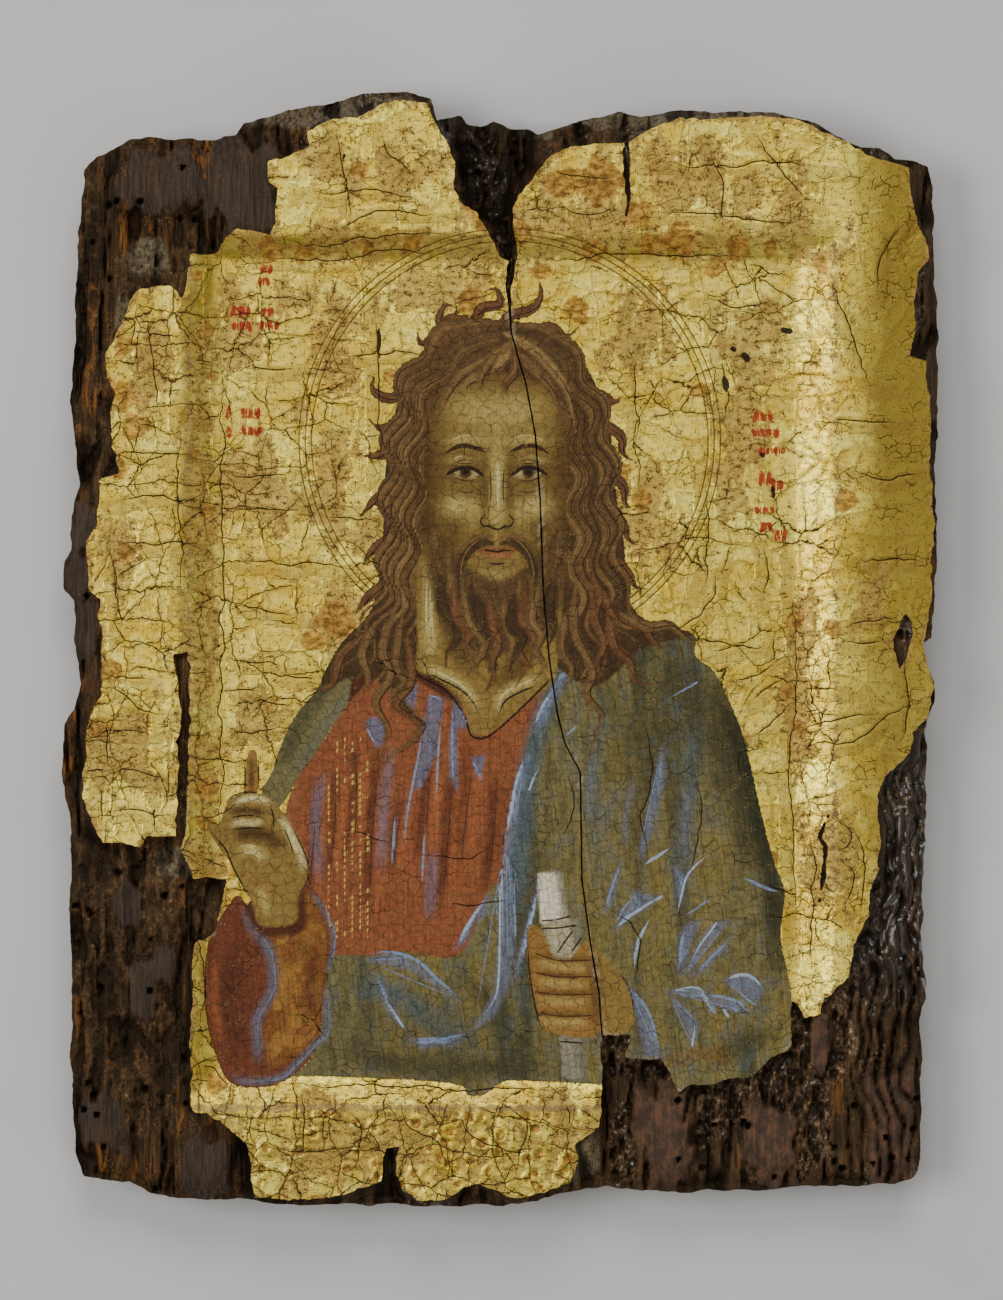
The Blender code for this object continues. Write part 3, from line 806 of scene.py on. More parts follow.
tunicStripes = (
    (-16.8, -15.1, -13.8, -16.2, -14.6, -23.9, -17.7, -31.2, -19.4, -31.6, -18.2, -23.9), (-11.3, -19, -9.9,
    -11.2, -9.4, -32.6, -11.3, -28.7), (-16.1, -10.2, -12.7, -11.2, -13.2, -16.2, -16.7, -15.1), (-20, -7.8,
    -18.4, -8.3, -19.4, -13.6, -22, -11.2), (-10.3, -11.2, -6.9, -17.5, -10.6, -18), (-6.5, -24.3, -3.3,
    -23.9, -4.4, -29.7), (-30.3, -16.1, -28.4, -15.1, -25.5, -17, -26.9, -22.4, -28.4, -21.4),
)
tunicStrokes = (
    (-16.9, -15.1, -18.4, -23.9, -19.9, -31.6, -21.1, -38.5, -21.8, -47.2), (-13, -14.1, -13.8, -21.4, -14.5,
    -36), (-10.6, -11.2, -10.8, -23.9, -10.3, -32.6), (-6.5, -24.3, -5.4, -26.8, -4, -29.7), (-30.2, -17.3,
    -28.1, -21.4), (-16, -10.4, -12.8, -11.3), (-10, -12, -7, -17.4), (-23.5, -36, -24.5, -50), (-17, -40,
    -17.6, -54),
)


def facet(points, colour, strength=0.8, soft=0.4):
    # A fold laid in with straight edges over what is already painted
    loop = ringed(points)
    spots = within(loop, 1)
    lay(spots, strength * softStep(-soft, soft, signedGap(x[spots], y[spots], [loop], 2)), colour)


def glow(px, py, halfWidth, halfHeight, colour, strength):
    # A soft oval of light or shade
    reach = np.hypot((x - px) / halfWidth, (y - py) / halfHeight)
    spots = np.nonzero(reach < 2.2)[0]
    lay(spots, strength * np.exp(-reach[spots] ** 2), colour)


def hatch(points, count, spacing, width, colour):
    # Fine strokes side by side, as the lights of the flesh are drawn
    run = flowing(points, step=1.2)
    across = sideways(run)
    for index in range(count):
        shift = (index - (count - 1) / 2) * spacing
        first = index % 2
        drawLine((run + across * shift)[first:len(run) - index % 3], width, colour)


def paintDress():
    fillArea(dress["mantleLeft"], mantleOlive, 0.75, lean=0.5)
    glaze((-36, -4, -44, -15, -51, -29), 3.0, mantleDark, 0.7)
    glaze((-31, -7, -40, -18, -48, -31), 2.2, mantleBlue, 0.25)
    fillArea(dress["under"], tunicDark, 0.6)
    fillArea(dress["tunic"], tunicRed, 0.8, lean=0.0)
    chance = np.random.default_rng(17)
    for px in (-44, -40, -35.5, -30, -25, -19, -14, -9, -4, 0):
        high = -16 - chance.uniform(0, 16)
        low = -66 + chance.uniform(0, 16)
        bend = chance.uniform(-1.2, 1.2)
        glaze(((px + 3, high), (px + 1.5 + bend, (high + low) / 2), (px, low)), chance.uniform(1.4, 2.6),
              tunicDark, chance.uniform(0.4, 0.8))
        glaze(((px + 5.4, high - 3), (px + 4 + bend, -40), (px + 2.6, low + 2)), 1.5, tunicLight,
              chance.uniform(0.2, 0.6))
        drawLine(((px + 3.4, high - 4), (px + 2 + bend, -42), (px + 0.6, low)), 0.35, tunicDark)
    for run in ((-24, -20, -26, -34, -27, -52), (-39.5, -26, -41.5, -38, -40.5, -54), (-15, -44, -16, -62)):
        glaze(run, 2.0, blueGrey, 0.5)
    for points in tunicStripes:
        facet(points, blueGrey, 0.85)
    for run in tunicStrokes:
        drawLine(run, 0.6, blueLight)
    # Stripe of short gold strokes down the tunic
    for column, px in enumerate((-38.5, -36.6, -34.9, -33.2, -31.4, -29.8)):
        for row in range(30):
            py = -20 - row * 1.5 - (column % 2) * 0.7
            kept = field(np.array([px * 3]), np.array([py]), 2.2, seed=4)[0] > 0.42
            if kept and py < -14 + (px + 33) * 1.5:
                drawLine(((px, py), (px - 0.1, py - 0.9)), 0.5, pigment(214, 176, 88), "even")
    # Mantle over the shoulder: patches of other tones, then soft folds, facets and fine lights
    fillArea(dress["mantleRight"], mantleOlive, 0.9, lean=0.12)
    shifts = field(x, y, 5.0, 34.0, seed=6, octaves=2)
    flecks = field(x, y, 1.5, 3.2, seed=16, octaves=3)
    inside = canvas["paint"][:, 3] > 0.85
    for tone, share in ((mantleDark, softStep(0.44, 0.25, shifts) * 0.8),
                        (mantleGold, softStep(0.56, 0.74, shifts) * 0.7),
                        (mantleBlue, softStep(0.54, 0.68, flecks) * 0.35),
                        (mantleDark, softStep(0.42, 0.28, flecks) * 0.45)):
        lay(slice(None), share * inside, tone)
    for run, width, tone, strength in (
            ((44, 0, 54, -21, 61, -50, 63, -80), 4.6, pigment(42, 45, 29), 0.85),
            ((45, -8, 51, -20, 55.5, -36, 58, -54), 7.0, pigment(48, 50, 33), 0.7),
            ((19, 0, 27, 0, 36, -3), 4.0, mantleDark, 0.6),
            ((38, 0, 47, -16, 52, -40), 5.0, mantleDark, 0.5),
            ((20, -4, 26, -14, 28, -30), 5.0, mantleDark, 0.45),
            ((17, 1, 10, -14, 6, -30, 4, -50, 2, -66), 3.6, mantleBlue, 0.8),
            ((33, -2, 30, -25, 31, -50), 4.2, mantleDark, 0.5),
            ((24, -8, 21, -30, 22, -55), 3.4, mantleBlue, 0.35),
            ((44, -12, 42, -34, 40, -60), 3.6, mantleBlue, 0.45),
            ((50, -35, 49, -55, 44, -74), 4.5, mantleGold, 0.5),
            ((38, -52, 34, -75, 37, -95), 4.0, mantleGold, 0.45),
            ((-34, -73, -20, -80, -4, -92), 4.5, mantleBlue, 0.6),
            ((-40, -88, -18, -94, 14, -94), 4.0, mantleDark, 0.75),
            ((-12, -72, -3, -79, 1, -90), 3.4, mantleDark, 0.6),
            ((22, -41, 25, -35, 27, -29), 3.0, mantleBlue, 0.5),
            ((46, -94, 56, -88, 63, -88), 4.0, mantleDark, 0.6),
            ((30, -28, 28.4, -37, 28, -46), 1.4, blueGrey, 0.6),
            ((43, -30, 41.4, -40, 42.2, -49), 1.2, blueGrey, 0.6),
            ((21.4, -22, 20.2, -31, 20.6, -41), 1.4, blueGrey, 0.5),
            ((34, -94, 46, -91, 54, -93), 2.6, rustBrown, 0.35)):
        glaze(run, width, tone, strength)
    glow(-12, -87, 30, 10, mantleDark, 0.4)
    glow(30, -50, 20, 34, mantleGold, 0.25)
    for points in map(pairs, foldFacets):
        facet(points, blueGrey, 0.35, 1.6)
        facet(points, mixTones(blueGrey, blueLight, 0.2), 0.55, 0.5)
        for end in points[2:-1:2]:
            drawLine((points[0], (points[0] + end) / 2, end), 0.35, mixTones(blueGrey, blueLight, 0.7))
    for index, run in enumerate(foldStrokes):
        drawLine(run, 0.6 if index % 3 else 0.8, (blueLight, blueWhite)[index % 2],
                 ("both", "end", "both")[index % 3])
    # Sleeve and its rusty cuff
    fillArea(dress["sleeve"], pigment(108, 60, 38), 0.8, lean=0.1)
    glaze((-58, -64, -61, -80, -58, -93), 4.5, tunicDark, 0.6)
    glaze((-64, -68, -64.5, -80, -62, -90), 2.0, tunicRed, 0.8)
    facet(dress["cuff"], rustBrown, 0.75, 1.2)
    cuff = within(pairs(dress["cuff"]), 0)
    rusty = softStep(0.45, 0.7, field(x[cuff], y[cuff], 3.0, 4.0, seed=31, octaves=3))
    rusty *= softStep(0, 2, signedGap(x[cuff], y[cuff], [ringed(dress["cuff"])], 2))
    tint(cuff, 0.7 * rusty, pigment(170, 124, 58))
    glaze((-44, -62, -42.5, -74, -44, -88), 2.6, tunicDark, 0.6)
    glaze((-50, -66, -47, -78, -49, -90), 2.0, pigment(148, 104, 48), 0.5)
    for run, width in (
            ((-57.8, -56.8, -56.6, -60.7, -54.6, -63.8, -51.8, -68.2, -51, -74.3, -51.7, -77.7, -54.6, -83.1,
              -54.6, -88.9, -54.1, -94.8), 2.0),
            ((-43, -53.9, -40, -58.2, -37.6, -64.1, -38.2, -70.4, -39.8, -73.8), 0.9),
            ((-39.2, -74.3, -39, -86, -41, -88.2, -45.9, -93.3, -49.8, -96.5, -58.1, -97, -61.5, -94.5),
             1.4)):
        glaze(run, width, pigment(104, 106, 116), 0.7, fade=0.15)
        drawLine(shifted(run, 0.4), 0.35, mixTones(blueGrey, blueLight, 0.4))


def paintNeck():
    fillArea(dress["neck"], fleshMid, 0.45)
    glaze((6, 12, 5, 0, -1, -12), 4.5, fleshDeep, 0.7)
    glaze((-12, 18, -10, 2, -5, -6), 4.0, fleshDeep, 0.85)
    glaze((-16.6, 22, -16, 8, -15.6, -2), 2.4, fleshLight, 0.9, fade=0.1)
    hatch((-15.8, 18, -16.0, 8, -15.4, -1), 2, 1.2, 0.4, fleshHigh)
    for run in ((-19, -3, -13.8, -5.3, -8.4, -8.3, -5.5, -12.2, -4.5, -15.6),
                (-1, -15, 0.4, -10.6, 3.8, -8.3, 9.6, -6)):
        glaze(run, 2.0, fleshLight, 0.8)
        drawLine(shifted(run, 0.4, -1.5), 0.55, lineDark)
        drawLine(run, 0.45, fleshHigh)
    drawLine((-20, -2, -18, -6, -12, -9.5, -8, -15, -6.5, -19.4, -2.6, -19.6, 4, -14, 12.5, -5.6), 0.6,
             lineDark, "even")


def paintHands():
    fillArea((-56.6, -57, -46, -52, -43.6, -57, -44.4, -63.6, -53.8, -64.2), pigment(86, 48, 30), 0.6,
             soft=0.8)
    fillArea((-56.6, -23.1, -55.4, -22.7, -54.7, -23.6, -54.3, -31, -55.9, -34.7, -57.6, -34, -57.2, -27),
             fleshWarm, 0.4)
    glaze((-55.9, -24, -55.9, -33), 1.0, fleshDeep, 0.8)
    fillArea((-62.1, -36.5, -61, -33.9, -57.4, -32.4, -52.6, -33, -50.7, -34.8, -47.9, -37.8, -45.3, -42.9,
              -43.4, -47.7, -43.4, -52, -45.5, -55.8, -46.2, -61.5, -53.9, -62, -55.6, -57.1, -57.8, -53.7,
              -60.4, -48.5, -64, -43.4, -66, -38.6, -63.4, -39.8), fleshMid, 0.45)
    for run, width, tone, strength in (
            ((-61.7, -37.1, -57.8, -36.2, -52, -36.9), 1.5, fleshDeep, 0.95),
            ((-61.5, -41.6, -56.1, -41.4, -51.8, -42.3, -48.2, -46), 2.8, fleshDeep, 0.95),
            ((-57, -49, -54, -53, -50, -57), 2.6, fleshWarm, 0.5),
            ((-60.5, -35, -56.9, -33.6, -53.4, -33.8, -51.2, -35.3), 1.1, fleshHigh, 0.9),
            ((-61, -39.7, -58.2, -38.9, -55.2, -39.2, -52.9, -38.4), 1.1, fleshHigh, 0.9),
            ((-50.3, -36.9, -48.1, -39.8, -46.2, -43.6, -44.5, -47.2, -44.3, -51), 1.4, fleshHigh, 0.95),
            ((-59.6, -45.6, -55.2, -45.3, -51.8, -48), 2.0, fleshLight, 0.8),
            ((-54.8, -52.8, -53.1, -56.3, -51.8, -60.6), 1.6, fleshLight, 0.8)):
        glaze(run, width, tone, strength)
    for run, width in (
            ((-61.8, -38.1, -57, -37.4, -52.4, -37.9), 0.5),
            ((-61.4, -40.7, -56, -40.2, -51.6, -40.6), 0.5),
            ((-51.9, -34.6, -50.9, -38, -51.2, -41.4), 0.5),
            ((-49.6, -38.5, -47.4, -43, -46, -48), 0.4),
            ((-66, -38.6, -64.5, -41.6, -61.7, -45.1, -59.9, -49.4, -55.6, -57.5), 0.5),
            ((-47.9, -37.8, -45.3, -42.9, -43.3, -47.9, -43.4, -52, -45.6, -56), 0.45),
            ((-57.4, -24, -57.4, -33), 0.4),
            ((-54.4, -24, -54.2, -32), 0.4),
            ((-62.1, -36.5, -61, -33.7, -57.4, -32.2, -52.4, -32.8), 0.45)):
        drawLine(run, width, lineDark)
    hatch((-59, -45.2, -55.5, -45, -52.5, -47.4), 3, 0.8, 0.35, fleshHigh)
    # Rolled scroll, above and below the hand that holds it, then that hand
    for points, tone in (
            ((8.4, -50.4, 13.8, -50.1, 15.3, -61, 9.1, -61.6), creamWhite),
            ((9.3, -61.6, 17.3, -60.6, 18.3, -66, 16, -70.4, 12.4, -70.4), pigment(176, 166, 130)),
            ((13.3, -86.4, 18.9, -86.6, 19.5, -96.6, 13.8, -96.6), pigment(142, 136, 112))):
        facet(points, tone, 0.95, 0.3)
        (ax, ay), (bx, by) = pairs(points)[1:3]
        glaze(((ax - 0.6, ay), (bx - 0.6, by)), 1.6, pigment(110, 104, 84), 0.7, fade=0)
    for run in ((9, -61.1, 12.1, -60.9, 16, -60), (8.9, -62.8, 13, -62.7, 17.5, -62),
                (12.8, -68.4, 14.6, -65.7, 16.6, -63), (16, -68.1, 18.5, -64.7), (13.3, -88.2, 18.8, -88.6)):
        drawLine(run, 0.5, lineDark, "even")
    fillArea((21.4, -67.7, 25.2, -70.6, 28.6, -75.5, 30, -80.8, 29.6, -85.2, 23.8, -86.8, 22.4, -82.3, 21.6,
              -75),
             fleshMid, 0.5)
    fillArea((6.1, -63, 9.1, -62.9, 12.4, -69.6, 15.8, -69.6, 18.6, -66, 20.4, -66.4, 22, -75.5, 22.9, -84.2,
              20.8, -87.2, 13.5, -86.8, 9.4, -85, 7.9, -80.3, 6.6, -72.5), fleshWarm, 0.5)
    glaze((20.5, -67, 21.6, -77, 21.5, -86), 2.4, fleshDeep, 0.7)
    for index, (left, right) in enumerate(((-68, -69.9), (-72.6, -73.6), (-77, -77.6), (-81.6, -82.4))):
        glaze(((7.5, left - 2), (14, right - 1.6), (20.5, right - 1.4)), 1.7, fleshLight, 0.5)
        glaze(((7, left), (14, right + 0.2), (21, right)), 1.1, pigment(98, 66, 32), 0.65)
        drawLine(((6.9 + index * 0.4, left), (13, right - 0.1), (21.4, right)), 0.4, pigment(66, 42, 22),
                 "even")
    drawLine((6.1, -63, 6.6, -72.5, 7.9, -80.3, 9.4, -85, 13.5, -86.9), 0.5, lineDark)
    drawLine((25.2, -70.6, 28.6, -75.5, 30, -80.8, 29.6, -85.2), 0.4, lineDark)


# Head of the figure: a plain canon, with every feature placed as a share of its height
head = {"middle": -0.7, "chin": 11.0, "crown": 68.0, "width": 33.0}


def onFace(points, side=1):
    # Points given outwards from the middle of the face, put on one side of it
    return pairs(points) * (side, 1) + (head["middle"], 0)


def paintHead():
    middle = head["middle"]
    tall = head["crown"] - head["chin"]
    eyeLine = head["chin"] + tall / 2
    noseFoot = head["chin"] + tall * 0.293
    mouth = head["chin"] + tall * 0.195
    brow = head["chin"] + tall * 0.584
    half = head["width"] / 2
    unit = head["width"] / 5      # the face is five eyes wide

    oval = (0, 62, 0.5 * half, 60.5, 0.82 * half, 54.5, 0.97 * half, 44, 0.94 * half, 33, 0.8 * half, 22,
            0.5 * half, 14, 0, 11)
    spots = fillArea(np.vstack([onFace(oval)[:-1], onFace(oval, -1)[:0:-1]]), fleshMid, 0.45, soft=0.8)
    # Brushwork bends round the face as if it were an egg
    bow = np.clip((y[spots] - head["chin"] - tall * 0.45) / (0.62 * tall), -0.95, 0.95)
    canvas["brush"][spots, 0] = (x[spots] - middle) / np.sqrt(1 - bow ** 2)
    canvas["brush"][spots, 1] = y[spots]
    for px, py, halfWidth, halfHeight, tone, strength in (
            (15.5, 40, 4.2, 20, fleshDeep, 0.95),
            (12.5, 20, 5, 8, fleshDeep, 0.85),
            (8, 61, 9, 3.4, fleshDeep, 0.7),
            (7.2, eyeLine + 1.2, 4.8, 3.6, fleshDeep, 0.8),
            (2.9, eyeLine - 3, 1.3, 7, fleshDeep, 0.6),
            (6.4, eyeLine - 4.6, 4.2, 1.8, fleshDeep, 0.6),
            (9.5, noseFoot - 1, 2.6, 5.5, fleshDeep, 0.6),
            (0, mouth - 3.2, 3.2, 1.3, fleshDeep, 0.5),
            (1.6, noseFoot - 0.6, 2.6, 1.2, fleshDeep, 0.6),
            (4.2, 53.5, 5.4, 3.4, fleshLight, 0.7),
            (6.6, brow + 2.6, 4.6, 1.2, fleshLight, 0.75),
            (8.2, eyeLine + 2.9, 3.2, 0.8, fleshLight, 0.5),
            (8.8, eyeLine - 7.4, 3.4, 2.4, fleshLight, 0.85),
            (5.4, noseFoot + 3.2, 1.4, 3.0, fleshLight, 0.5),
            (0, mouth - 5.6, 3.0, 1.7, fleshLight, 0.4),
            (0.6, 38, 1.0, 10, fleshLight, 0.8),
            (0, noseFoot + 2.0, 1.8, 1.7, fleshLight, 0.7)):
        for side in ((1, -1) if px else (1,)):
            glow(middle + side * px, py, halfWidth, halfHeight, tone, strength)
    soft = mixTones(fleshLight, fleshHigh, 0.35)
    for run, width in (
            ((2.4, brow + 2.6, 7, brow + 3.8, 11.8, brow + 2.0), 0.4),
            ((5.4, eyeLine - 6.0, 8.6, eyeLine - 6.6, 11.8, eyeLine - 4.8), 0.4),
            ((6.4, eyeLine - 8.0, 9.4, eyeLine - 8.2, 12, eyeLine - 6.6), 0.35),
            ((5.4, eyeLine + 3.4, 8.2, eyeLine + 3.9, 10.8, eyeLine + 2.7), 0.3)):
        for side in (1, -1):
            drawLine(onFace(run, side), width, soft)
    drawLine(onFace((0.2, brow - 1, 0.2, 38, 0.2, noseFoot + 2.2)), 0.75, fleshHigh)
    inner = 0.5 * unit
    outer = 1.6 * unit
    span = outer - inner
    lift = brow - eyeLine
    for side in (1, -1):
        def atEye(points):
            # Places as shares of the way from the inner to the outer corner, and mm above the eyes
            across, rise = pairs(points).T
            return np.stack([middle + side * (inner + across * span), eyeLine + rise], axis=1)
        facet(atEye((0, -0.5, 0.25, 0.9, 0.55, 1.3, 1, 0.1, 0.6, -1.25, 0.3, -1.1)), pigment(168, 148, 98),
              0.9, 0.3)
        iris = atEye((0.52, 0.3))[0]
        turns = [index * math.pi / 4 for index in range(8)]
        for radius, tone in ((1.5, pigment(74, 50, 26)), (0.7, pigment(26, 17, 10))):
            facet([(iris[0] + radius * math.cos(t), iris[1] + radius * math.sin(t)) for t in turns],
                  tone, 1.0, 0.25)
        for run, width, tone, taper in (
                ((-0.06, -0.7, 0.25, 0.95, 0.55, 1.4, 0.85, 0.8, 1.14, -0.4), 0.95, lineDark, "even"),
                ((0.1, -1.1, 0.45, -1.7, 0.8, -1.1, 1.0, -0.1), 0.4, pigment(70, 44, 22), "both"),
                ((0.1, 2.5, 0.55, 3.1, 1.0, 1.9), 0.4, pigment(70, 46, 24), "both"),
                ((0.1, -3.7, 0.5, -4.3, 0.9, -3.5), 0.35, pigment(70, 46, 24), "both"),
                ((-0.25, lift - 0.8, 0.2, lift + 0.9, 0.7, lift + 1.4, 1.3, lift - 0.9), 1.1,
                 pigment(58, 39, 22), "both"),
                ((-0.22, lift - 1.6, -0.27, -4, -0.2, noseFoot + 3.4 - eyeLine), 0.4,
                 pigment(62, 42, 22), "both"),
                ((-0.1, noseFoot + 2.6 - eyeLine, 0.06, noseFoot + 1.2 - eyeLine,
                  -0.05, noseFoot - 0.1 - eyeLine, -0.25, noseFoot + 0.3 - eyeLine), 0.45, lineDark, "even")):
            drawLine(atEye(run), width, tone, taper)
    drawLine(onFace((-2.3, noseFoot + 0.1, 0, noseFoot - 0.8, 2.3, noseFoot + 0.1)), 0.5, lineDark, "even")
    facet(onFace((-4.6, mouth, -2, mouth + 1.1, 0, mouth + 0.8, 2, mouth + 1.1, 4.6, mouth, 2.4, mouth - 1.6,
                  -2.4, mouth - 1.6)), pigment(142, 84, 50), 0.85)
    glaze(onFace((-2.4, mouth - 1.0, 0, mouth - 1.2, 2.4, mouth - 1.0)), 0.8, pigment(172, 118, 72), 0.6)
    drawLine(onFace((-5.2, mouth - 0.2, -2, mouth + 0.1, 0, mouth - 0.25, 2, mouth + 0.1, 5.2, mouth - 0.2)),
             0.6, lineDark)
    drawLine(onFace((-2.6, mouth - 2.6, 0, mouth - 3.0, 2.6, mouth - 2.6)), 0.5, lineDark)
    return mouth, noseFoot


# Hair: its outline, and locks laid between an inner and an outer guide on each side
hairSettings = {
    "locks": 6, "width": 3.4, "wave": 1.3, "pace": 13.5, "seed": 12,
    "mass": (0, 74, -10, 73.5, -19, 65, -24, 52, -26, 38, -26.6, 22, -29, 9, -36, 1, -40, -8, -31, -6, -24,
        -9, -19, -6, -8, -2, 8, -2, 19, -8, 24, -7, 32, 0, 43, 3.4, 34, 6, 29, 11, 28, 22, 26, 36, 24.5, 50,
        20, 62.5, 12, 71.5),
    "guides": {
        "left":  ((3, 69, -5, 63.5, -12.2, 55.5, -16, 45, -17.4, 34, -18.2, 22, -19, 10, -20, 0, -20, -17),
            (4, 72.5, -9, 73, -19, 64, -23.5, 50, -25, 36, -26, 22, -28.5, 9, -35, 1, -40, -8)),
        "right":  ((1, 69, 8, 62.5, 12.8, 54, 15.4, 44, 16.4, 34, 17, 22, 17.5, 10, 18.5, 0, 20, -20), (0,
            72.5, 11, 71.5, 18.5, 62, 23.2, 50, 25, 36, 26.4, 23, 28.5, 12, 35, 5, 42, 2.6)),
    },
    "fringe": ((4, 70, -2, 65.5, -8.5, 62, -12.5, 56.5, -14.6, 50), (3, 68, -1, 63.6, -7, 60.4, -10.5, 56.6),
        (2, 68, 6, 64.4, 11, 59.4, 14, 52), (3, 67, 3.4, 62.6, 1, 59.4, 1.8, 56.8), (-1, 66, -4.4, 61.6, -4.2,
        58.4), (1, 71, 8, 67, 14.5, 59, 17, 49)),
}
# Locks that curl off the outline, that fall on the shoulders and that make up the beard
curls = (
    (-9, 66, -14.5, 69.4, -18, 68.8, -18.8, 72), (-4, 70, -9, 74.4, -13.5, 73.5, -12.4, 77.4, -9, 76.4), (-1,
    71, 2, 74.8, 7, 76.4, 9.2, 79.6, 8.2, 84.2), (-6, 71, -4.4, 76.4, 0, 77.6, -1, 81, -4, 80), (4, 70, 11,
    72.4, 15, 70.4, 17.6, 72.4), (-20, 58, -25, 56.4, -28.6, 58.4, -28.2, 62), (-22, 47, -27, 43.6, -31.6,
    43.4), (-22, 37, -28, 33.6, -31.6, 29.6), (-22, 26, -28.4, 22.6, -31, 18.6), (-20, 51, -26.4, 49.6, -29.6,
    51.8), (21, 58, 25.6, 55.6, 27.4, 56.8), (21, 52, 27, 48, 27.6, 44, 30.6, 42), (21, 42, 27.4, 37, 28, 33,
    30.6, 31), (20, 34, 27, 29, 29, 24.6, 32, 23), (20, 24, 28, 18, 30.6, 14, 34, 13.4), (-24, 16, -29.6,
    11.8, -33, 7.4),
)
fallingLocks = (
    (-22, 8, -23.5, -3.4, -20.6, -7.3, -23.5, -10.2, -20.6, -14.1, -17.7, -17, -20.6, -21.4, -24.5, -23.9,
    -27.9, -29.7), (-21, 3, -20, -7, -23.5, -12.2, -21.6, -14.1, -18.6, -16.6, -18.4, -20, -21.6, -22.6),
    (-24, 8, -26.4, 0, -24.6, -6, -28, -12, -25.4, -18, -26.6, -25), (-31, 3, -36, -2, -38, -8, -42.5, -9),
    (-28, 6, -31, -1, -29.6, -7, -33, -11), (20, 17, 22.3, 12.7, 21.3, 7.3, 23.3, 1.5, 21.8, -3.4, 24, -8),
    (17, 15, 16.5, 5.4, 18.8, -0.5, 20.8, -5.3, 19.4, -10.2, 22.6, -15, 19.9, -24), (23.3, 13, 25.2, 7.8,
    28.1, 5.4, 32, 5, 35.5, 0.6, 39, 1.4), (27, 8, 33, 5, 38, 5.4, 43, 1.6, 45.2, 3), (24, 8, 25.6, 1, 29,
    -2.6, 30, -7, 34, -8), (14.6, 8, 13.6, 0, 16, -4, 14.6, -9),
)
beardLocks = (
    (-12, 18, -10.6, 11, -8, 7, -8.6, 2, -6, -2, -8, -6.4), (-7, 14, -6, 8, -3.4, 4.4, -4.6, 0, -1.6, -4,
    -3.4, -9), (2, 13, 3, 8, 5.6, 4.4, 3.6, 0, 5.4, -4, 3, -8.6), (7, 14, 7, 8, 9.4, 4.4, 7.6, 0, 9.4, -4,
    7.4, -7), (-13.8, 16, -13.2, 9.3, -10, 5.4, -10.4, 1.5, -12.4, -0.5, -12.5, -4), (-11, 14, -10, 7, -7.4,
    3.6, -8.6, 0, -7, -3.6), (-8.9, 13, -7.4, 6.4, -4, 2, -4.6, -1.4, -6.4, -4.4, -3, -7.6), (-5.6, 12, -4.4,
    5, -1.6, 1, -3, -3), (-3, 11, -2.1, 5.4, -0.8, 1.5, -2.4, -3.4, -1.8, -7.3, -3.8, -9.6), (0.4, 11, 1.2, 5,
    2.4, 1, 0.8, -4), (2.8, 12, 2.2, 5.4, 4.6, 2.4, 3, -1, 1.6, -5), (5, 13, 4.8, 7, 7.2, 3, 5.4, -1), (8, 14,
    6.8, 7, 8.8, 3.2, 7.4, -0.5, 6.6, -4.4), (11.6, 16, 10.6, 9, 11.8, 4.4, 10, 0),
)


def paintHair():
    s = hairSettings
    chance = np.random.default_rng(s["seed"])
    fillArea(s["mass"], hairDark, 0.9, soft=0.35)
    for curl in curls:
        drawLock(curl, 2.5, hairRed, chance.uniform(0, 50))
        drawLine(shifted(curl, 0.3, -0.3), 0.35, lineDark)
    for inner, outer in s["guides"].values():
        inner, outer = pairs(inner), pairs(outer)
        phase = chance.uniform(0, 6.28)
        for index in range(s["locks"]):
            share = 1 - index / (s["locks"] - 1)
            path = waved(inner, outer, share, s["wave"] * chance.uniform(0.75, 1.25), s["pace"],
                         phase + 0.9 * index)
            path = path[:max(4, int(len(path) * chance.uniform(0.88, 1.0)))]
            tone = (hairWarm, hairRed, hairPale, hairWarm, hairDark, hairWarm)[int(chance.integers(0, 6))]
            tone = mixTones(tone, hairWarm, 0.35)
            drawLock(path, s["width"] * chance.uniform(0.85, 1.15), tone, chance.uniform(0, 50))
            drawLine(shifted(path, 0.9 if inner[-1][0] > 0 else -0.9, 0.2), 0.4, hairLine)
            if index % 2:
                drawLine(shifted(path[4:-3], -0.4), 0.35, hairPale)
    return chance


def paintFringe(chance):
    glaze((-17, 58, -11, 65.5, 0, 69.5, 10, 66.5, 17, 57), 6.5, hairDark, 0.55)
    for index, lock in enumerate(map(pairs, hairSettings["fringe"])):
        drawLock(lock, 2.6, (hairWarm, hairPale, hairWarm, hairRed)[index % 4], chance.uniform(0, 50))
        drawLine(shifted(lock, 0.6, -0.7), 0.35, lineDark)
        drawLine(shifted(lock[:-1], -0.2, 0.4), 0.3, hairPale)


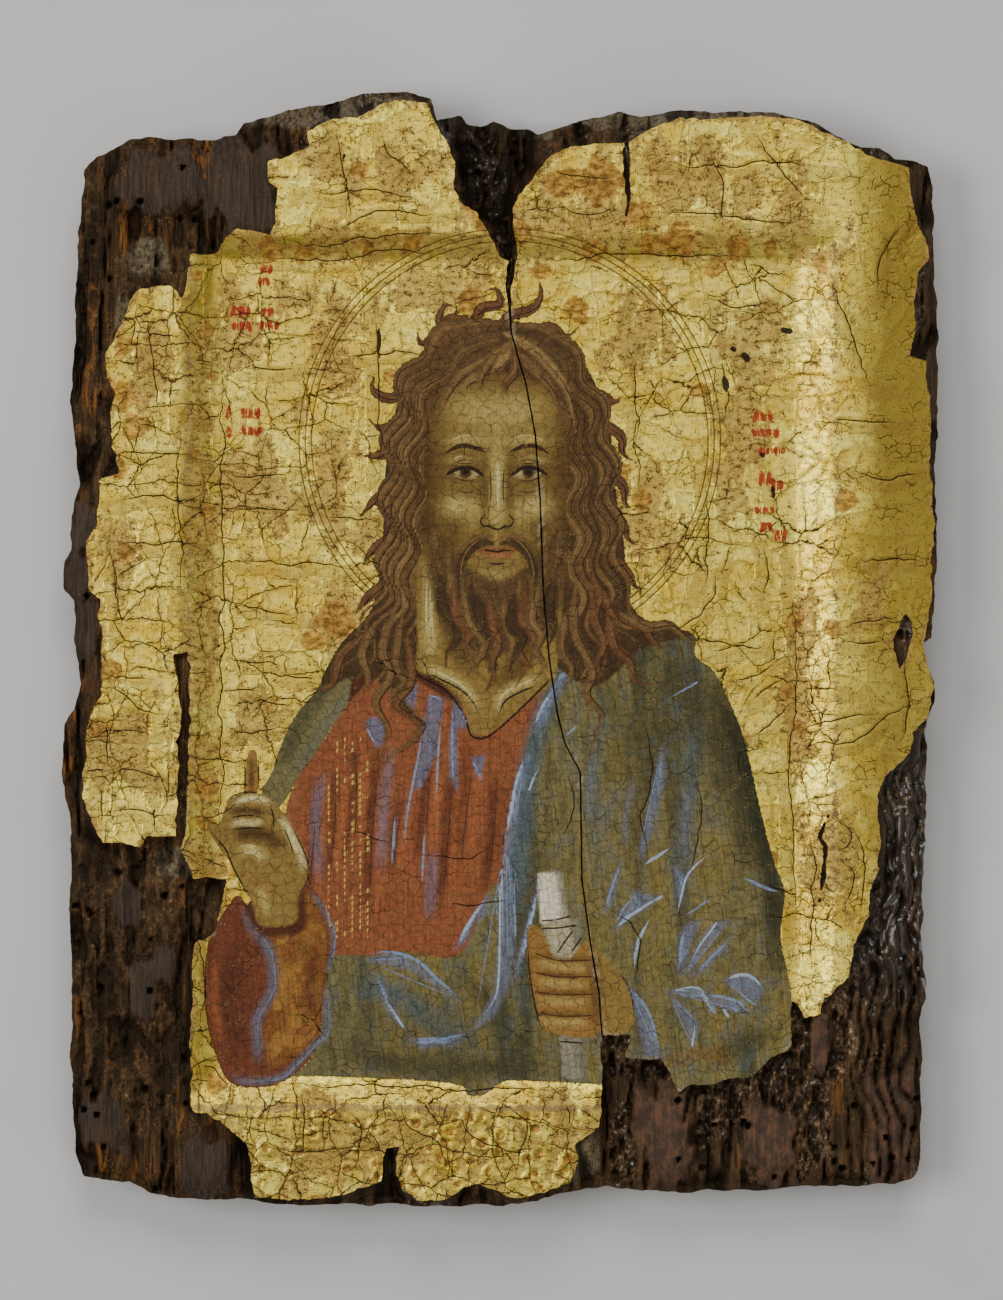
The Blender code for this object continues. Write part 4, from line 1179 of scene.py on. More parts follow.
def paintBeard(chance, mouth, noseFoot):
    fillArea(onFace((-14.4, 31, -15.2, 20, -14, 9, -10.5, 3, -5, 0, 0, -1.5, 5, 0, 10.5, 3, 14, 9, 15.2, 20,
                     14.4, 31, 12.6, 23, 9, 18.5, 6.4, 18.6, 3.4, 16.4, 0, 15.6, -3.4, 16.4, -6.4, 18.6, -9,
                     18.5, -12.6, 23)), mixTones(hairDark, hairWarm, 0.35), 0.9, soft=1.0)
    for side in (1, -1):
        for index in range(7):
            px = 14.2 - index * 1.5
            py = 27 - index * 1.9
            drawLock(onFace((px, py, px - 0.8, py - 6, px - 2.4, py - 12), side), 1.9,
                     mixTones(hairWarm, hairDark, 0.2 + 0.4 * (index % 2)), chance.uniform(0, 50))
            drawLine(onFace((px - 0.5, py - 1, px - 1.4, py - 6, px - 2.8, py - 11), side), 0.3,
                     (lineDark, hairPale)[index % 2])
    for index, lock in enumerate(beardLocks):
        lock = shifted(lock, 0.4)
        drawLock(lock, 2.7, (hairWarm, hairDark, hairRed)[index % 3], chance.uniform(0, 50))
        drawLine(shifted(lock, 0.9), 0.35, hairLine)
        if index % 3 == 0:
            drawLine(shifted(lock[:-1], -0.3), 0.3, hairPale)
    for side in (1, -1):
        for drop, tone in ((0.0, hairWarm), (1.3, hairDark)):
            run = onFace((0.8, noseFoot - 2.6, 4.5, mouth + 2.7, 7.6, mouth - 0.6, 8.6, mouth - 5, 8.4,
                          mouth - 9.5), side)
            drawLock(shifted(run, 0, -drop), 2.1, tone, chance.uniform(0, 50))
        drawLine(onFace((1.2, noseFoot - 2.8, 4.5, mouth + 2.2, 7.2, mouth - 0.8, 8.2, mouth - 5, 8,
                         mouth - 9), side), 0.35, hairPale)
    for index, lock in enumerate(fallingLocks):
        drawLock(lock, 2.3, (hairWarm, hairRed)[index % 2], chance.uniform(0, 50))
        drawLine(shifted(lock, 0.9, -0.2), 0.4, hairLine)


# Rows of short red marks where the gold was once written on: middle, number and height of the marks
markRows = (
    (-52.6, 85.4, 2, 2.4), (-53.2, 82.6, 2, 2.4), (-58.4, 76, 3, 2.6), (-58.2, 72.6, 3, 2.6), (-52.4, 75.8, 2,
    2.4), (-52, 72.8, 3, 2.2), (-61.2, 53.2, 1, 3.4), (-61, 48.8, 1, 3.4), (-56.2, 53, 3, 2.8), (-56, 49, 3,
    2.8), (59, 52.2, 3, 2.6), (59.6, 48.6, 4, 2.2), (61, 44.6, 4, 2), (59.4, 38.4, 2, 4.2), (62.2, 36.8, 2,
    3.4), (59.4, 31.2, 3, 1.8), (59.8, 27.4, 2, 2.8), (63, 25.6, 2, 3),
)


def paintMarks():
    chance = np.random.default_rng(31)
    for px, py, count, tall in markRows:
        for index in range(count):
            left = px + (index - (count - 1) / 2) * 1.7
            tilt = chance.uniform(-0.35, 0.35)
            high = tall * chance.uniform(0.7, 1.0) / 2
            drawLine(((left - tilt, py - high), (left + 0.1, py), (left + tilt, py + high)), 1.1, markRed,
                     "even")


# Wear of the gold, read off in its places: middle, half width and half height of worn patches
wornPatches = (
    (-53.5, 40.2, 10.1, 13.5), (-59.6, 71.7, 4.9, 13.5), (-38.2, 64.9, 7.6, 11.2), (-38.2, 38, 6.7, 13.5),
    (-44.9, 78.4, 11.2, 6.7), (52.7, 46.7, 6, 15), (56.1, 69.3, 8, 8.2), (31.5, 29, 9, 11.2), (22.5, 103.1,
    12.4, 7.9), (-15.7, 80.7, 11.2, 6.7), (-33.7, 6.5, 8.1, 8.1), (-66.3, -47.4, 3.6, 9), (31.5, 69.4, 6.7,
    10.1), (-18, -112.6, 24.7, 6.7), (14.6, -114.8, 9, 5.6), (-44.9, -112.6, 9, 6.7), (-78.7, 64.9, 5.8, 9),
    (-85.4, 20, 4.9, 13.5), (-29.2, 23.4, 4.5, 9), (67.4, 95.3, 9, 4.5), (85.4, 11, 5.8, 13.5), (-42.7, 112.1,
    9, 5.8), (-24.7, 107.6, 13.5, 6.7), (44.9, 112.1, 13.5, 5.8), (40.4, -78.9, 9, 9), (67.4, -9.2, 4.5, 18),
    (75.3, -47.4, 5.8, 13.5), (30, 91.2, 44, 4), (-35, 91.2, 30, 4), (-67.4, 20, 4.2, 72), (-83, -24, 8, 12),
    (-56, -14, 7, 8), (-17, -111, 42, 10), (46, 103, 24, 7), (12, 96, 22, 6),
)
# Stains: middle and radius
stainSpots = (
    (-43.8, 89.7, 2.2), (-68.1, 83.8, 1.8), (-64.5, 61.6, 2), (-65.6, 30.6, 1.8), (-84.3, 21.6, 2.7), (48.5,
    86.3, 2.7), (71.9, 87, 2.7), (-31.5, 107.6, 2.2), (74.2, 4.7, 2.2), (-80.9, 49.2, 1.8), (16.9, 76.2, 3.1),
    (22.5, 105.4, 5.8), (13.5, 104.3, 4.5), (31.5, 97.5, 4), (-37.1, 6.5, 4.9), (-41.6, 2, 3.1), (-64, -97.3,
    2.7), (-61.1, -95.1, 2), (-23.6, 61.6, 2.7), (31.5, 33.5, 2.7), (28.1, 40.2, 2.2), (-69.7, 43.6, 1.6),
    (-65.6, 71.7, 1.8), (60.7, 89.7, 2.2), (64.3, -9.2, 2.2), (66.3, 6.5, 2), (67.4, -17.8, 2), (-6.7, 78.4,
    3.1), (9, 85.2, 2.7), (55.1, -20.4, 2.2), (61.1, -47.4, 2), (60.7, -60.9, 1.8), (-66.1, -31.7, 3.1),
    (-66.3, -38.4, 2.7), (-44.9, 87.4, 1.8), (44.9, 58.2, 2.2), (77.5, 33.5, 2.7), (-4.5, 97.5, 4.5), (4.5,
    93, 3.1), (40.4, 91.9, 4.5), (-85, 57, 4.5), (-82, 50, 3.5), (-86, 40, 3), (-84, 68, 3), (-88, -5, 3),
    (-90, -18, 2.5), (21, 90, 3), (33, 91, 2.5), (53, 90, 3), (-20, 91, 2.5), (-52, 90, 3), (-30, 90, 2),
)
# Points of the long straight cracks
longCracks = (
    (-64, 91.5, -62.5, 2, -64.5, -70), (-60.5, 88.5, -4, 89), (1, 88, 65, 88), (-63, -2, -48, -4), (-50, -5.5,
    -41, -6), (-63, -9.5, -53.5, -9.5), (-56, -12, -46.5, -12.5), (-63, -18, -48, -17.5), (-64.5, -20, -61.5,
    -20), (-89, -6, -77, -6.5), (-88, -6.5, -79.5, -13, -73.5, -14), (-91, -18.5, -77.5, -17.5), (-93.5,
    -26.5, -87.5, -26.5), (-87, -25.5, -73, -27.5), (-87.5, -35.5, -72.5, -37.5), (-87.5, -15.5, -87.5,
    -26.5), (-89, -29, -89.5, -39.5), (-77.5, -33.5, -77, -41.5), (-86, 24.5, -85.5, 2), (46, -1.5, 60.5, 2),
    (43.5, 3, 49.5, 2, 53.5, -0.5), (61, 4.5, 60.5, -4.5), (51, -8.5, 56.5, -7, 61.5, -2), (55.5, -12.5, 63.5,
    -6.5), (55, -20.5, 66.5, -11.5), (64.5, -18, 78.5, -14.5, 86.5, -15), (64, -25.5, 68, -22.5, 80, -20,
    86.5, -15.5, 97, -13), (67, -9, 76.5, -8.5), (77.5, 5, 90.5, 8.5), (77.5, 2, 87.5, 2), (58.5, -28, 65,
    -27.5), (65.5, 20, 65.5, -70), (75.5, -39, 78.5, -42, 77, -45.5, 73.5, -45), (76, -48, 79.5, -51.5, 77,
    -59), (-90, 43.5, -66.5, 42.5), (-88, 33.5, -64.5, 32.5), (-87.5, 23.5, -65, 22.5), (-63, 40, -53.5, 39,
    -45, 40), (-62.5, 31.5, -42, 31), (-62.5, 20, -29, 18.5), (-62, 11, -45, 8.5), (-83, 71.5, -70.5, 71.5),
    (-78.5, 80.5, -77.5, 47), (-73, 56, -71, 6.5), (-69, 65, -64.5, 64.5), (-60.5, 64, -45, 63.5), (-68.5,
    52.5, -62.5, 52), (-38, 68.5, -35, 66.5, -13.5, 66.5), (-28, 78.5, -27.5, 38), (-26, 29, -40.5, 29),
    (31.5, 68.5, 31.5, 44.5), (27.5, 57, 36, 58), (45, 78.5, 54, 77, 64, 78.5), (50.5, 68.5, 50, 49), (36, 2,
    45, 8.5, 49.5, 20), (45, 40, 46, 24.5, 44.5, 11), (59.5, 24.5, 60, 11), (72, 87, 83, 60.5, 89, 58), (74,
    51.5, 91, 50.5), (77.5, 40, 85.5, 38.5, 96.5, 41), (78.5, 20, 95.5, 19.5), (82.5, 78.5, 85.5, 89.5, 91,
    97.5), (45, 113.5, 49.5, 103, 48.5, 92), (31.5, 109, 45, 107.5, 60.5, 110, 76.5, 107.5), (55, 119, 72,
    97.5), (-45, 103, -22.5, 102.5, -15.5, 98), (-38, 119, -33.5, 103, -35, 94), (-27, 116.5, -18, 104.5),
    (-40.5, 93.5, -27, 97.5, -11, 97), (-55, 92, -4.5, 92.5), (9, 107.5, 18, 105, 28, 105.5), (10, 100, 20,
    98, 28, 99.5), (31.5, 97.5, 73.5, 95), (-56, -99, -45, -98, 22.5, -100), (-45, -98, -43.5, -106, -45,
    -117), (-36, -101.5, -31.5, -108, -33.5, -119.5), (-22.5, -100.5, -20, -108, -14, -110.5, -11, -119.5),
    (-56, -110.5, -27, -112), (-11, -101.5, -6.5, -109, 4.5, -112.5, 13.5, -110.5), (4.5, -101.5, 5.5, -109,
    3.5, -119.5), (13.5, -101.5, 17, -108), (-67.5, -47.5, -60, -49.5), (-68.5, -56.5, -66.5, -74.5, -68,
    -90), (-69.5, -94.5, -64, -96, -60, -100.5), (67.5, -34, 70, -49.5, 69, -65.5, 71, -76.5), (58.5, -52,
    67.5, -56.5), (78.5, -38.5, 81.5, -49.5, 80.5, -63), (91, 2, 91.5, -11.5, 89, -25), (13.5, -25, 15.5, -34,
    13.5, -45), (31.5, -11.5, 33.5, -25, 31.5, -38.5, 33.5, -52), (-18, -45, -9, -46.5, 0, -44.5), (-33.5,
    -40.5, -22.5, -42), (-13.5, -56.5, 4.5, -56.5), (42.5, -25, 45, -40.5, 42.5, -56.5), (22.5, -56.5, 31.5,
    -63, 31.5, -76.5),
)
# Small deep losses down to the dark wood: both ends and width
deepSpots = (
    ((50.2, 61.8), (50.9, 57.4), 1.5), ((54.4, 66.6), (55.9, 64.6), 1.5), ((51.8, 67.8), (52.9, 67), 1.1),
    ((63.2, 71.8), (65.7, 71.3), 1.3), ((58.5, 43.8), (59.3, 43.3), 1.2), ((-39.3, 110.7), (-38.9, 110.7),
    1.3), ((-35.2, 110.7), (-34.8, 110.7), 1.3), ((-27.2, 72.6), (-27.6, 65.4), 1), ((61.2, 36.6), (61.4, 34),
    0.8),
)


def figureShare():
    # 1 on the painted figure, 0 on the gold
    return softStep(-0.5, 1.5, canvas["figure"])


def paintState():
    # Wear, stains, the rubbed edges of the sunk field, how far the cracks are open, and the long ones
    state = canvas["state"]
    ragged = 1.1 * (field(x, y, 2.6, seed=19, octaves=3) - 0.5)
    for px, py, halfWidth, halfHeight in wornPatches:
        reach = np.hypot((x - px) / halfWidth, (y - py) / halfHeight)
        state[:, 0] = np.maximum(state[:, 0], 1.25 - 0.75 * np.clip(reach, 0, 2))
    state[:, 0] = softStep(0.15, 1.0, state[:, 0] + 1.7 * (field(x, y, 4.0, 7.0, seed=33, octaves=3) - 0.5))
    for px, py, radius in stainSpots:
        reach = np.hypot(x - px, y - py) / radius + ragged
        state[:, 1] = np.maximum(state[:, 1], 1 - softStep(0.5, 1.2, reach))
    left, right, foot, top = recess.values()
    inRow = softStep(foot - 6, foot + 2, y) * softStep(top + 6, top - 2, y)
    inLine = softStep(left - 4, left + 2, x) * softStep(right + 4, right - 2, x)
    wander = 2.4 * (field(x, y, 4, 9, seed=36, octaves=2) - 0.5)
    for gap, share in (
            (np.abs(x + wander - left - 1.2), inRow),
            (np.abs(x + wander - right), inRow),
            (np.abs(y + 0.5 * wander - foot), inLine * 1.25),
            (np.abs(y + wander - top), inLine * 0.5)):
        state[:, 2] = np.maximum(state[:, 2], (1 - softStep(0.3, 1.9, gap)) * share)
    state[:, 2] = np.maximum(state[:, 2], 0.4 * softStep(foot, foot - 2, y))
    # Smooth leaf of the right border, also painted darker there as painted shade, more so further up
    drift = 6 * (field(x, y, 5, 12, seed=35, octaves=3) - 0.5)
    rightSide = softStep(right + 1, right + 11, x + drift) * softStep(-60, -40, y)
    state[:, 3] = rightSide * (0.8 + 0.2 * softStep(-10, 50, y))
    opening = 0.46 + 0.1 * softStep(-20, -60, x) - 0.2 * softStep(right - 2, right + 4, x)
    opening += 0.2 * softStep(foot + 4, foot - 2, y) - 0.1 * softStep(85, 95, y)
    figure = figureShare()
    canvas["openness"] = opening * (1 - figure) + 0.34 * figure
    for path in longCracks:
        bent = flowing(np.reshape(path, (-1, 2)), step=0.8)
        for size, reach in ((17.0, 2.6), (5.0, 1.6), (1.5, 0.7)):
            bent += reach * (np.stack([field(*bent.T, size, seed=23), field(*bent.T, size, seed=24)],
                                      axis=1) - 0.5)
        drawLine(bent, 0.34, taper="both", layer="split")
    for start, end, width in deepSpots:
        middle = ((start[0] + end[0]) / 2 + 0.2, (start[1] + end[1]) / 2)
        drawLine((start, middle, end), width, taper="both" if math.dist(start, end) > 3 else "even",
                 layer="split")


def plateRelief(crackGap):
    # Millimetres above or below the plain face of the ground
    gap, _, half = canvas["split"].T
    farOff = 2.5
    longGap = np.where(gap < farOff, gap - half, farOff)
    crack = np.minimum(crackGap, longGap)
    figure = figureShare()
    rise = 0.30 * (field(x, y, 34, seed=2) - 0.5) + 0.05 * (field(x, y, 9, seed=5) - 0.5)
    rise += 0.012 * (field(x, y, 1.3, seed=7, octaves=2) - 0.5)
    rise += (0.05 - 0.03 * figure) * np.exp(-(np.maximum(crack, 0) / 0.9) ** 2)
    rise -= (0.2 - 0.1 * figure) * softStep(0.25, -0.15, crack)
    worn = canvas["state"][:, 0] * (1 - figure)
    rise -= 0.16 * softStep(0.45, 0.75, field(x, y, 1.6, seed=14, octaves=3) * (0.55 + worn))
    reach = np.hypot(x - nimbus["middle"][0], y - nimbus["middle"][1])
    for radius in nimbus["radii"]:
        rise -= 0.08 * np.exp(-((reach - radius) / 0.42) ** 2) * (1 - figure)
    # Ringed blisters in the lower border
    chance = np.random.default_rng(5)
    for index in range(70):
        px = chance.uniform(-22, 22) if index % 4 else chance.uniform(-54, -22)
        py = chance.uniform(-121, -104)
        size = chance.uniform(0.8, 1.6)
        spots = np.nonzero(np.hypot(x - px, y - py) < size * 2)[0]
        away = np.hypot(x[spots] - px, y[spots] - py) / size
        rise[spots] += 0.2 * np.exp(-((away - 1) / 0.3) ** 2) - 0.18 * softStep(0.8, 0.4, away)
        canvas["state"][spots, 1] = np.maximum(canvas["state"][spots, 1], 0.95 * softStep(0.85, 0.5, away))
        canvas["state"][spots, 0] *= 1 - np.exp(-((away - 1.1) / 0.35) ** 2)
    return rise


def finishPlates():
    paintDress()
    paintHands()
    chance = paintHair()
    paintNeck()
    marks = paintHead()
    paintFringe(chance)
    paintBeard(chance, *marks)
    paintMarks()
    paintState()
    spans = {}
    start = 0
    crackGap = np.empty(len(x))
    for name, plate in plates.items():
        span = spans[name] = slice(start, start + len(plateSpots[name]))
        start = span.stop
        keep(plate.data, "openness", canvas["openness"][span])
        crackGap[span] = readCracks(plate)
    rise = plateRelief(crackGap)
    for name, plate in plates.items():
        spots = plateSpots[name]
        px, py = spots.T[:2]
        span = spans[name]
        mesh = plate.data
        rim = np.empty(len(spots), np.float32)
        mesh.attributes["rim"].data.foreach_get("value", rim)
        edge = np.abs(signedGap(px, py, plateSettings[name]["rings"], 3.0))
        lip = 0.14 * (field(px, py, 6, seed=9) - 0.35) * softStep(2.0, 0.2, edge)
        chalky = softStep(0.5, 0.62, field(px, py, 0.7, 1.1, seed=41, octaves=2))
        chalky *= softStep(0.8, 0.2, edge) * softStep(0.42, 0.6, field(px, py, 5, 11, seed=42))
        grimy = softStep(2.2, 0.2, edge) * softStep(0.3, 0.6, field(px, py, 2.4, seed=43, octaves=3))
        canvas["state"][span, 0] = np.maximum(canvas["state"][span, 0], grimy)
        tint(span, 0.45 * chalky, pigment(186, 170, 134))
        upper = rim < 0.5
        spots[upper, 2] += (rise[span] + lip)[upper]
        for layer in ("paint", "figure", "drawn", "ink", "brush", "state", "split"):
            keep(mesh, layer, canvas[layer][span])
        finishMesh(mesh, spots, groundCrease)


print("painting")
finishPlates()


# Board: fine where it is bare, coarse under the ground, with worn sides

# Patches are given by their middle, half width and half height
boardSettings = {
    "coarse": 2, "cuts": 3, "wobble": 0.35, "rows": 15, "crease": 60,
    # fine as far as this under the ground; rays from outside measure how far the sides are worn in
    "underGround": 1.2, "standOff": 0.004, "mostHollow": 2.6, "hollowIfMissed": 1.2,
    "sound": ((-58.5, 104.5, 8, 10), (-77, 106, 9, 7), (-80.5, -77, 3, 6), (-75.5, -71, 2.6, 4.5), (-66.5,
        -116.5, 6, 7), (37, -110, 5.6, 11.5), (61, -111.5, 6.2, 9), (71.5, -88.5, 2.3, 6.5), (87.5, -107, 5,
        12), (-95.5, 16.5, 3, 5), (-94, 28, 3, 5), (-94, 3, 3, 7), (-89, -107, 5, 6), (-84, -58, 3, 5)),
    "orange": ((-78, 106, 1.4, 4), (-94.8, -84, 1.2, 10.5), (-72, -100.6, 0.7, 5), (-71.6, -54, 0.7, 4), (-86,
        60, 1.6, 9), (-92, 70, 1.2, 16), (-95.5, 40, 1.2, 9), (-97, -20, 1.2, 8), (93, -66, 1, 9), (-84, 95,
        1.4, 7), (-66, 108, 1, 6), (-9, 98, 1, 5), (76, -98, 1.2, 7), (-90, -112, 1.6, 6), (50, -88, 3, 2)),
    "dusty": ((-85, 75.8, 1.6, 3.4), (-36, 121, 24, 3.2), (40, 119.5, 36, 2.4), (8.3, 117, 3, 2), (-79, 88, 5,
        4), (-25, -114, 3, 5), (19, -113, 3.4, 6), (-70, -48, 7, 3)),
    "holes": ((-95.5, -57.8), (-95.3, -66.3), (-89.9, -76.2), (-90.8, -104.7), (-79.8, -98.9), (25.8, -113),
        (51.9, -112.8), (77, -116.9), (91.9, -114.6), (93.5, -101.3), (-88, 100), (-72, 97), (-5, 108), (3,
        112), (-93, 12)),
    "bored": ((-97, -70, -123, -48, 16), (26, 94, -121, -101, 16), (-96, -60, 82, 113, 8)),
    "galleries": (77, 96.5, -121, -66),
    "rotten": ((-86, -60, 12, 14), (-82, -90, 13, 14), (49, -98, 5, 14), (29, -90, 9, 5), (56, -92, 26, 6),
        (70, -106, 4, 14), (66, -80, 9, 8), (-7, 106, 9, 12), (-72, 84, 12, 6), (-94, 90, 3, 20), (81, -60, 5,
        20), (28, -112, 3, 10)),
}


def patchShare(px, py, patches, seed=0):
    # 1 inside the listed patches, with a ragged edge
    share = np.zeros(np.shape(px))
    rough = 1.1 * (field(px, py, 2.6, 6.0, seed=seed, octaves=3) - 0.5)
    for middleX, middleY, halfWidth, halfHeight in patches:
        out = (((px - middleX) / halfWidth) ** 4 + ((py - middleY) / halfHeight) ** 4) ** 0.25 + rough
        share = np.maximum(share, softStep(1.12, 0.92, out))
    return share


def wormRidges(px, py, waves, drift, spacing):
    # Winding ridges that stand between the galleries: 1 on a ridge, 0 in a gallery
    reach, wide, tall, seed = drift
    sway = sum(height * np.sin(py / length) for height, length in waves)
    sway = sway + reach * (field(px, py, wide, tall, seed=seed, octaves=2) - 0.5)
    return np.abs(np.sin((px + sway) / spacing * math.pi)) ** 0.6


def woodRelief(px, py, bare, edge):
    # Rise of the wood in mm, how sound or crumbly it is, and its worm holes
    s = boardSettings
    sound = patchShare(px, py, s["sound"], 1)
    sway = 2.0 * (field(px, py, 9, 22, seed=4) - 0.5) + 0.8 * (field(px, py, 2.4, 5, seed=18) - 0.5)
    fibre = field(px + sway, py, 1.3, 13, seed=1, octaves=3)
    split = 1 - np.abs(2 * field(px + sway, py, 4.4, 34, seed=3, octaves=2) - 1)
    hollow = softStep(0.56, 0.74, field(px + sway, py, 3.4, 11, seed=13, octaves=2))
    crumbly = softStep(0.52, 0.7, field(px, py, 7, 12, seed=6, octaves=2))
    crumbly = np.maximum(crumbly, patchShare(px, py, s["rotten"], 6)) * (1 - sound)
    crumbly *= 1 - 0.5 * softStep(-40, -60, px)
    crumbs = 1 - np.abs(2 * field(px + 0.5 * sway, py, 1.9, 3.8, seed=8, octaves=3) - 1)
    rise = 1.1 * (fibre - 0.55) - 1.3 * softStep(0.86, 0.99, split) - 0.9 * hollow
    rise = rise * (1 - 0.7 * crumbly) + crumbly * (3.0 * (crumbs - 0.86) - 0.3)
    rise = rise * (1 - 0.8 * sound) + 0.4 * sound
    left, right, foot, top = s["galleries"]
    inside = softStep(left, left + 2, px) * softStep(right, right - 1, px)
    inside = inside * softStep(foot, foot + 3, py) * softStep(top, top - 6, py)
    ridge = wormRidges(px, py, ((1.1, 5.5), (0.5, 2.3)), (3.4, 4, 9, 9), 2.7)
    broken = 0.3 + 1.1 * field(px, py, 2.6, 6.5, seed=27, octaves=3)
    rise = rise * (1 - 0.5 * inside) + inside * (0.3 + 0.9 * broken) * (1.5 * ridge - 1.2)
    glossy = softStep(83, 86, px) * softStep(-78, -68, py) * softStep(-20, -28, py)
    ridge = wormRidges(px, py, ((1.2, 6.0), (0.6, 2.7)), (3.0, 3, 7, 28), 2.1)
    rise = rise * (1 - 0.4 * glossy) + glossy * broken * (1.2 * ridge - 0.9)
    pits = np.zeros(np.shape(px))
    chance = np.random.default_rng(44)
    holes = list(s["holes"])
    for left, right, foot, top, count in s["bored"]:
        holes += [(chance.uniform(left, right), chance.uniform(foot, top)) for _ in range(count)]
    for middleX, middleY in holes:
        radius = chance.uniform(0.55, 0.85)
        pits = np.maximum(pits, softStep(radius, radius * 0.55, np.hypot(px - middleX, py - middleY)))
    rise = np.minimum(rise, 0.7) * softStep(0.1, 1.6, bare) * softStep(0.0, 1.4, edge)
    return rise - 2.2 * pits * softStep(0, 1, bare), sound, crumbly, pits


def buildBoard():
    s = boardSettings
    bm = gridOver(boardRing[0], s["coarse"], s["coarse"])
    cover = groundCover(*placesOf(bm.verts).T[:2])
    fine = {vert for vert, under in zip(bm.verts, cover) if under < s["underGround"]}
    edges = {edge for face in bm.faces if any(vert in fine for vert in face.verts) for edge in face.edges}
    bmesh.ops.subdivide_edges(bm, edges=[edge for edge in bm.edges if edge in edges], cuts=s["cuts"],
                              use_grid_fill=True)
    trim(bm, boardRing, s["coarse"] / (s["cuts"] + 1), lambda px, py: signedGap(
        px, py, boardRing) + 2 * s["wobble"] * (field(px, py, 1.9, seed=15, octaves=3) - 0.45))
    places = placesOf(bm.verts)
    px, py = places.T[:2]
    chart = soften(readHeights("wooden_board", 0.7, upward=False), 2)
    rise, *_ = woodRelief(px, py, -groundCover(px, py), signedGap(px, py, boardRing))
    places[:, 2] = heightAt(chart, px, py) + rise
    setPlaces(bm.verts, places)

    # Sides, drawn down row by row against the worn sides of the solid
    tree = rayTree("wooden_board")
    off = s["standOff"]
    rim = [edge for edge in bm.edges if edge.is_boundary]
    starts = {vert: vert.co.copy() for edge in rim for vert in edge.verts}
    dx, dy = outward(*placesOf(starts)[:, :2].T, boardRing)
    heading = {vert: Vector((a, b, 0)) for vert, a, b in zip(starts, dx, dy)}
    for row in range(1, s["rows"] + 1):
        made = bmesh.ops.extrude_edge_only(bm, edges=rim)["geom"]
        rim = [item for item in made if isinstance(item, bmesh.types.BMEdge)]
        lowered = {}
        turned = {}
        for vert in {vert for edge in rim for vert in edge.verts}:
            above = next(edge.other_vert(vert) for edge in vert.link_edges if edge.other_vert(vert) in starts)
            start = lowered[vert] = starts[above]
            out = turned[vert] = heading[above]
            height = start.z * (1 - row / s["rows"])
            hit = tree.ray_cast(Vector((start.x, start.y, max(height, 0.2 * mm))) + out * off, -out)
            hollow = (min(max((hit[3] or off) / mm - off / mm, 0.0), s["mostHollow"]) if hit[0]
                      else s["hollowIfMissed"])
            vert.co = (start.x - out.x * hollow * mm, start.y - out.y * hollow * mm, height)
        starts = lowered
        heading = turned
    bmesh.ops.edgeloop_fill(bm, edges=rim)
    bmesh.ops.recalc_face_normals(bm, faces=bm.faces)
    piece = asPiece("worn_board", bm)
    mesh = piece.data
    spots = vertexPlaces(mesh)
    px, py, pz = spots.T
    top = heightAt(chart, px, py)
    dx, dy = outward(px, py, boardRing)
    side = softStep(0.97, 0.8, pz / top) * softStep(3.4, 2.9, signedGap(px, py, boardRing))
    onEnd = np.abs(dy) > 0.7
    alongEdge = np.where(onEnd, px, py)
    furrow = np.where(onEnd, field(alongEdge, pz, 1.6, 4.0, seed=21, octaves=3),
                      field(alongEdge, pz, 15, 1.7, seed=22, octaves=3))
    inward = side * (0.9 * furrow) * softStep(0.0, 1.0, pz)
    spots[:, 0] -= dx * inward
    spots[:, 1] -= dy * inward
    bare = np.full(len(px), 3.0)
    rise, sound, crumbly, pits = woodRelief(px, py, bare, bare)
    upper = pz > heightAt(chart, px, py) * 0.96 - 1.5
    orange = patchShare(px, py, s["orange"], 3)
    dusty = patchShare(px, py, s["dusty"], 5)
    wet = softStep(80, 85, px + 3 * crumbly) * softStep(-84, -70, py) * softStep(-16, -26, py)
    # The last woodState number and the first two woodForm numbers carry only painted shade: worm holes,
    # crumbly hollows, depth below the top and the rise of the relief
    keep(mesh, "woodState", np.stack([part * upper for part in (
        orange, sound, dusty, np.maximum(pits, 0.35 * crumbly))], axis=1))
    keep(mesh, "woodForm", np.stack([np.clip(20.5 - pz, 0, 12) * upper, np.where(upper, rise, -0.3),
                                     crumbly * upper, wet * upper], axis=1))
    finishMesh(mesh, spots, s["crease"])
    return piece


print("board")
board = buildBoard()
for piece in (*plates.values(), board):
    piece.data.calc_loop_triangles()
    print("  ", piece.name, len(piece.data.loop_triangles), "triangles")


# Materials

def makeGroup(name, inputs, outputs, build):
    tree = bpy.data.node_groups.new(name, "ShaderNodeTree")
    for side, sockets in (("INPUT", inputs), ("OUTPUT", outputs)):
        for label, kind in sockets.items():
            tree.interface.new_socket(label, in_out=side, socket_type="NodeSocket" + kind)
    nodes = Nodes(tree)
    start = nodes.add("NodeGroupInput", output=None)
    nodes.add("NodeGroupOutput", build(nodes, *[start.outputs[label] for label in inputs]), None)
    return tree


def useGroup(nodes, group, *values):
    return nodes.add("ShaderNodeGroup", dict(enumerate(values)), None, node_tree=group).outputs


def newMaterial(name):
    material = bpy.data.materials.new(name)
    material.use_nodes = True
    nodes = Nodes(material.node_tree)
    place = nodes.scaled(nodes.add("ShaderNodeTexCoord", output="Object"), 1 / mm)
    return material, nodes, material.node_tree.nodes["Principled BSDF"], place


def buildDust(nodes, place, amount):
    # Pale grit that settles in clouds of fine specks
    specks = nodes.ramp(nodes.cloud(place, 0.55, 2.0, 0.7), 0.56, 0.7)
    clouds = nodes.ramp(nodes.cloud(place, 5.0), 0.42, 0.68)
    return [nodes.calc("MULTIPLY", nodes.times(specks, clouds), amount, clamp=True)]


dustGroup = makeGroup("settledDust", {"Place": "Vector", "Amount": "Float"}, {"Mask": "Float"}, buildDust)
crackGroup = makeGroup("crackNet", {"Place": "Vector", "Openness": "Float"},
                       {"Gap": "Float", "Tone": "Color"}, crackNet)


